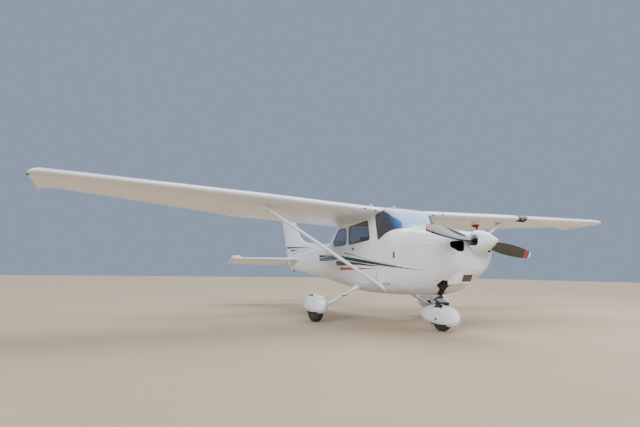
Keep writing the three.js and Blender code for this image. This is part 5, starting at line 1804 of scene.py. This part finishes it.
# The simulated seat cloth: the size of its remeshed faces, and how far a point may move outward
CLOTH_VOXEL, CLOTH_SWELL, CLOTH_FRAMES = 13, 20, 20


def stuffed(form):
    """A form swollen by air pressure as cloth, no point by more than the limit."""
    made = solid(form)
    remesh = made.modifiers.new("remesh", "REMESH")
    remesh.mode = "VOXEL"
    remesh.voxel_size = CLOTH_VOXEL * MM
    made.data = evaluated(made)
    start = np.array([vertex.co for vertex in made.data.vertices])
    cloth = made.modifiers.new("cloth", "CLOTH")
    cloth.settings.use_pressure = True
    cloth.settings.uniform_pressure_force = 4
    cloth.settings.effector_weights.gravity = 0
    for number in range(CLOTH_FRAMES):
        scene.frame_set(number + 1)
    swollen = evaluated(made)
    end = np.array([vertex.co for vertex in swollen.vertices])
    shift = end - start
    length = np.linalg.norm(shift, axis=1, keepdims=True)
    end = start + shift * np.minimum(1, CLOTH_SWELL * MM / np.maximum(length, 1e-9))
    swollen.vertices.foreach_set("co", end.ravel())
    made.data = swollen
    scene.frame_set(1)
    form = copied(made)
    discard(made)
    for _ in range(3):
        bmesh.ops.smooth_vert(
            form, verts=form.verts, factor=0.5, use_axis_x=True, use_axis_y=True, use_axis_z=True,
        )
    return form


def padded(name, form, body):
    made = piece(name, form, body, seat_cloth, smooth=180)
    finer = made.modifiers.new("finer", "SUBSURF")
    finer.levels = finer.render_levels = 1
    return made


def welt(pad, outline, xs):
    """The piping along the edges of a pad, laid on its surface."""
    tree = BVHTree.FromBMesh(pad)
    cords = []
    for x in xs:
        edge = [at(x, station, height) for station, height in rounded(outline, 40, 5)]
        points = [tree.find_nearest(place)[0] for place in edge]
        cords.append(tube([*points, points[0]], 4, sides=8, steps=2))
    return joined(*cords)


SEAT_X = 240
# Seat pads in side view, with half the width of each
CUSHION = [(930, 820), (1390, 800), (1390, 900), (930, 930)]
BACK = [(1340, 800), (1460, 800), (1575, 1370), (1485, 1380)]
HEADREST = [(1490, 1360), (1570, 1360), (1590, 1500), (1520, 1505)]
BENCH_CUSHION = [(1800, 820), (2230, 800), (2230, 900), (1800, 930)]
BENCH_BACK = [(2190, 780), (2300, 790), (2420, 1330), (2330, 1345)]


PAD_INSET, PIPING_INSET = 14, 8


def pad_form(outline, low, high):
    """A pad before it is stuffed, smaller than its outline all round."""
    return prism(outline, low + PAD_INSET, high - PAD_INSET, rounding=30, grow=-PAD_INSET, parts=4)


def seats():
    for name, outline, half_width, fill in (
        ("cushion", CUSHION, 205, 0.6), ("back", BACK, 205, 0.6), ("headrest", HEADREST, 120, 0.7),
    ):
        low, high = SEAT_X - half_width, SEAT_X + half_width
        pad = stuffed(pad_form(outline, low, high))
        piping = welt(pad, grown(outline, -6), (low + PIPING_INSET, high - PIPING_INSET))
        for side, form, cord in (("right", mirrored(pad), mirrored(piping)), ("left", pad, piping)):
            made = padded(f"seat_{name}_{side}", form, "airframe")
            piece(f"seat_{name}_welt_{side}", cord, "airframe", rubber_seal, smooth=180)
            if name == "cushion":
                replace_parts(made, f"seat_{side}")
    both("seat_frame", seat_frame(), "airframe", dark_steel)


def seat_frame():
    """The left front seat's rails, legs and pan, and the posts of its headrest."""
    rails, legs = [], []
    for x in (SEAT_X - 150, SEAT_X + 150):
        rails.append(block((x - 9, 940, FLOOR_TOP + 1), (x + 9, 1420, FLOOR_TOP + 20), rounding=3))
        for foot, head in ((980, 1010), (1380, 1350)):
            legs.append(bar(at(x, foot, FLOOR_TOP + 12), at(x, head, 812), 10, sides=16))
    pan = block((SEAT_X - 175, 965, 800), (SEAT_X + 175, 1390, 818), rounding=6)
    posts = [bar(at(x, 1525, 1330), at(x, 1545, 1420), 6, sides=16) for x in (SEAT_X - 60, SEAT_X + 60)]
    return joined(*rails, *legs, pan, *posts)


def rear_seat():
    for name, outline, half_width in (("cushion", BENCH_CUSHION, 425), ("back", BENCH_BACK, 375)):
        pad = stuffed(pad_form(outline, -half_width, half_width))
        piping = welt(pad, grown(outline, -6), (PIPING_INSET - half_width, half_width - PIPING_INSET))
        made = padded(f"bench_{name}", pad, "airframe")
        piece(f"bench_{name}_welt", piping, "airframe", rubber_seal, smooth=180)
        if name == "cushion":
            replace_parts(made, "rear_bench")
    base = block((-380, 1830, FLOOR_TOP + 1), (380, 2240, 806), rounding=12)
    piece("bench_base", shaped(base, (KEEP, room_inside(8))), "airframe", cabin_trim)


# Small outside pieces
def pitot():
    x, middle = 1890, 1770
    outline = [(1010, 1880), (1090, 1880), (1080, middle + 8), (1040, middle + 8)]
    mast = softened(prism(outline, x - 9, x + 9, rounding=8), 5, segments=3)
    mast = shaped(mast, (CUT, whole_wing()))
    probe = bar(at(x, 905, middle), at(x, 1085, middle), 12, sides=32, rounding=3)
    made = piece("pitot_tube", shaped(mast, (ADD, probe)), "airframe", plain_paint)
    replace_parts(made, "pitot_mast")
    profile = [
        (0, -2), (20, 0), (27, 8), (29, 60), (30, 126), (31, 130), (26, 130), (24, 60), (18, 12), (0, 10),
    ]
    cover = spun(profile, at(x, 885, middle), AFT, sides=40)
    piece("pitot_cover", cover, "airframe", cover_red)
    rows = []
    for k in range(13):
        height = middle - 7 - 9 * k
        wave = 4 * math.sin(k * 0.7)
        rows.append([at(x + wave, station, height) for station in (901, 920, 940, 959)])
    ribbon = skin(rows, closed=False, capped=False)
    made = piece("pitot_ribbon", ribbon, "airframe", cover_red, smooth=180)
    thickness = made.modifiers.new("thickness", "SOLIDIFY")
    thickness.thickness = 1.2 * MM


def lamp_forms():
    """The two landing lamps in the left wing's leading edge."""
    bowl = [(0, -30), (14, -28), (32, 0), (35, 0), (35, 4), (31, 4), (12, -24), (0, -26)]
    lens = [(0, 6), (16, 5), (31, 2), (31, 0), (0, 2)]
    for name, profile, finish in (("lamp_bowls", bowl, chrome), ("lamp_lenses", lens, window_clear)):
        turned_forms = [spun(profile, at(x, BAY_REAR - 30, LAMP_HEIGHT), -AFT) for x in LAMP_XS]
        piece(name, joined(*turned_forms), "airframe", finish)
    plate = block((BAY_INNER + 2, BAY_REAR - 6, 1880), (BAY_OUTER - 2, BAY_REAR - 1, 1985))
    piece("lamp_bay_plate", plate, "airframe", rubber_seal)


def beacon_and_tip_lights():
    profile = [(0, 0), (30, 0), (31, 12), (28, 26), (20, 36), (9, 41), (0, 42)]
    piece("beacon_dome", spun(profile, at(0, BEACON_STATION, 2677), UP), "airframe", red_lens)
    outline = [(826, 1978), (850, 1972), (884, 1974), (896, 1986), (884, 2004), (846, 2008)]
    base = softened(prism(outline, 5380, 5462, rounding=8), 3)
    outline = [(828, 1979), (850, 1974), (882, 1976), (893, 1986), (882, 2002), (847, 2006)]
    glass = softened(prism(outline, 5463, 5499, rounding=8), 8, segments=4)
    lights = (
        ("right", mirrored(base), mirrored(glass), green_lens),
        ("left", base, glass, red_lens),
    )
    for side, foot, cap, lens in lights:
        piece(f"tip_light_base_{side}", foot, "airframe", plain_paint)
        piece(f"tip_light_lens_{side}", cap, "airframe", lens)


def aerials():
    outline = [(1180, 1950), (1330, 1950), (1400, 2090), (1330, 2090)]
    for side, x in (("right", -250), ("left", 250)):
        blade = prism(outline, x - 7, x + 7, rounding=12)
        piece(f"aerial_{side}", softened(blade, 5, segments=3), "airframe", white_plastic)
    ring = prism([(5735, 838), (5790, 838), (5800, 925), (5725, 925)], -9, 9, rounding=12)
    hole = bar(at(-20, 5762, 862), at(20, 5762, 862), 12, sides=32)
    form = softened(shaped(ring, (CUT, hole)), 2, angle=50)
    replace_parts(piece("tail_tie_down", form, "airframe", dark_steel), "tail_ring")


def on_body(table, station, height, out=0):
    """A point on the left side of the body or just out from it, and the way out there."""
    def surface(place, level):
        _, half_width, belly, widest, top, belly_power, top_power = value_at(table, place)
        power = top_power if level > widest else belly_power
        rise = top - widest if level > widest else widest - belly
        share = max(0, 1 - (abs(level - widest) / rise) ** power) ** (1 / power)
        return at(half_width * share, place, level)

    spot = surface(station, height)
    outward = (surface(station + 5, height) - spot).cross(surface(station, height + 5) - spot).normalized()
    return spot + outward * out * MM, outward


def fastener(table, station, height, radius):
    spot, outward = on_body(table, station, height)
    profile = [(0, -3), (radius, -3), (radius, 0.5), (radius * 0.7, 1.5), (radius * 0.25, 1.5), (0, 0.8)]
    return spun(profile, spot, outward, sides=16)


# Fastener heads in the cowling and just behind it. Columns: station and height.
COWL_FASTENERS = [
    (53, 1184), (-127, 1195), (-328, 1209), (-525, 1222), (-708, 1232), (-42, 969), (-49, 747), (-536, 743),
    (-900, 1110), (-880, 960), (-870, 1330), (-600, 1290), (-300, 1280), (-40, 1270), (-40, 1420),
]


def small_fasteners():
    heads = []
    for station, height in COWL_FASTENERS:
        table = COWL_SECTIONS if station < 0 else CABIN_SECTIONS
        heads.append(fastener(table, station, height, 8))
    heads.append(fastener(CABIN_SECTIONS, 794, 817, 6))
    both("cowl_fasteners", joined(*heads), "airframe", dark_steel, smooth=30)
    piece("baggage_latch", fastener(CABIN_SECTIONS, 2045, 1050, 17), "baggage_door", bare_alloy)


def skin_plates(name, body, rounding, corners):
    """A thin dark plate on each side, which follows the skin: a dark seam line, or painted shade where it
    stands for an opening or a recess. Its corners are station and height.
    """
    room = prism(corners, SIDE_FROM, OUTSIDE, rounding=rounding)
    both(name, shaped(copied(seal_skin), (KEEP, room)), body, dark_inside_and_painted_shade)


def side_details():
    """The slot behind the cowling, the louver by the strut's foot, a seam and the door handles; the slot, the
    louver's recess and the handles' recesses are dark plates of painted shade.
    """
    # Dark plates of painted shade where the slot and the louver's recess are not cut
    skin_plates("side_slot_painted_shade", "airframe", 16, [(212, 1066), (256, 1066), (256, 1168), (212, 1168)])
    skin_plates("louver_recess_painted_shade", "airframe", 10, [(377, 641), (571, 641), (571, 681), (377, 681)])
    slats = []
    for height in (648, 661, 674):
        ends = [on_body(CABIN_SECTIONS, station, height, 3)[0] for station in (390, 558)]
        slats.append(bar(*ends, 3.5, sides=12))
    both("louver_slats", joined(*slats), "airframe", plain_paint)
    skin_plates("skin_seam", "airframe", 0, [(706, 866), (710, 866), (740, 704), (736, 704)])
    # The handle's recess is a dark plate of painted shade
    corners = [(1464, 1240), (1562, 1240), (1562, 1282), (1464, 1282)]
    skin_plates("handle_recess_painted_shade", "door_{side}", 16, corners)
    pivot, outward = on_body(CABIN_SECTIONS, 1482, 1261, 2)
    grip_end = on_body(CABIN_SECTIONS, 1556, 1261, 10)[0]
    lever = bar(pivot + outward * 0.008, grip_end, 8, 6, sides=20, rounding=2)
    boss = bar(pivot - outward * 0.004, pivot + outward * 0.014, 11, sides=24, rounding=2)
    both("door_handle", shaped(boss, (ADD, lever)), "door_{side}", bare_alloy)


def windshield_details():
    """The curved tubes behind the windshield's corners, the air outlets above them and the compass."""
    path = [(478, 706, 1846), (486, 672, 1660), (474, 612, 1500), (440, 528, 1428)]
    post = tube([at(*place) for place in path], 11, sides=20)
    both("windshield_tube", post, "airframe", white_plastic)
    profile = [(0, 0), (22, 0), (26, 8), (26, 34), (20, 38), (8, 38), (0, 30)]
    outlet = spun(profile, at(430, 640, 1838), Vector((0.2, -0.9, -0.3)))
    both("air_outlet", outlet, "airframe", white_plastic)
    profile = [(0, -34), (20, -32), (30, -18), (32, 0), (30, 18), (20, 32), (0, 34)]
    piece("compass", spun(profile, at(0, 560, 1492), UP), "airframe", panel_black)


def wing_details():
    """The cabin air inlets in the leading edge, dark blocks of painted shade standing for the openings, and
    the fuel fillers on top.
    """
    # Each inlet is a dark solid block: painted shade of an opening that is not cut
    inlet_shade_blocks = []
    for x, height in ((797, 1874), (599, 1856)):
        corners = [(x - 22, height - 10), (x + 22, height - 10), (x + 22, height + 12), (x - 22, height + 12)]
        inlet_shade_blocks.append(softened(prism(corners, 627, 700, "front", rounding=9), 1.5))
    both("cabin_air_inlet_shade", joined(*inlet_shade_blocks), "airframe", dark_inside_and_painted_shade)
    x, part = 1560, 0.26
    chord = wing_place(x)[1]
    top = on_wing(x, part, (mean_line(part, WING_CAMBER) + half_thickness(part, WING_THICKNESS)) * chord)
    profile = [(0, -6), (46, -6), (46, 1), (42, 2.5), (34, 2.5), (33, 1.5), (30, 1.5), (29, 4), (0, 5)]
    both("fuel_filler", spun(profile, top, UP), "airframe", bare_alloy)


# Making the aircraft
cabin_shell()
doors()
panes()
cowling()
wing_and_surfaces()
strut()
tail()
main_gear()
nose_gear()
propeller()
engine_bay()
cabin_floor()
panel()
seats()
rear_seat()
pitot()
lamp_forms()
beacon_and_tip_lights()
aerials()
small_fasteners()
side_details()
windshield_details()
wing_details()
discard(wall_skin, pane_skin, seal_skin)


# Stage and light
FLOOR_COLOURS = (0.40, 0.315, 0.20, 1), (0.46, 0.37, 0.245, 1)


def floor():
    form = bmesh.new()
    bmesh.ops.create_grid(form, x_segments=1, y_segments=1, size=60)
    made = piece("studio_floor", form, None, floor_finish())


def floor_finish():
    made, tree, shader = material("floor_finish")
    patches = noise(tree, object_place(tree), 0.5, 3)
    dress(tree, shader, Base_Color=mixed(tree, patches, *FLOOR_COLOURS), Roughness=0.8)
    return made


def light(name, kind, place, target, strength, colour, **softness):
    """A lamp at a place, turned to its target. Its softness is an angle or a size."""
    data = bpy.data.lights.new(name, kind)
    for key, value in softness.items():
        setattr(data, key, value)
    data.energy = strength
    data.color = colour
    lamp = bpy.data.objects.new(name, data)
    lamp.location = place
    lamp.rotation_euler = (Vector(target) - Vector(place)).to_track_quat("-Z", "Y").to_euler()
    scene.collection.objects.link(lamp)


def studio():
    floor()
    light("key", "SUN", (6, 5, 13), (0, -0.5, 1.2), 2.6, (1.0, 0.96, 0.90), angle=math.radians(50))
    light("fill", "SUN", (-9, -10, 9), (0, -1, 1), 3.4, (0.95, 0.95, 1.0), angle=math.radians(40))
    light("card", "AREA", (8, -7.5, 10), (0, -3.5, 1.2), 1150, (0.95, 0.97, 1.0), shape="SQUARE", size=8)
    world = bpy.data.worlds.new("studio")
    world.use_nodes = True
    scene.world = world
    background = world.node_tree.nodes["Background"]
    background.inputs["Color"].default_value = (0.60, 0.74, 1.0, 1)
    background.inputs["Strength"].default_value = 0.5


studio()
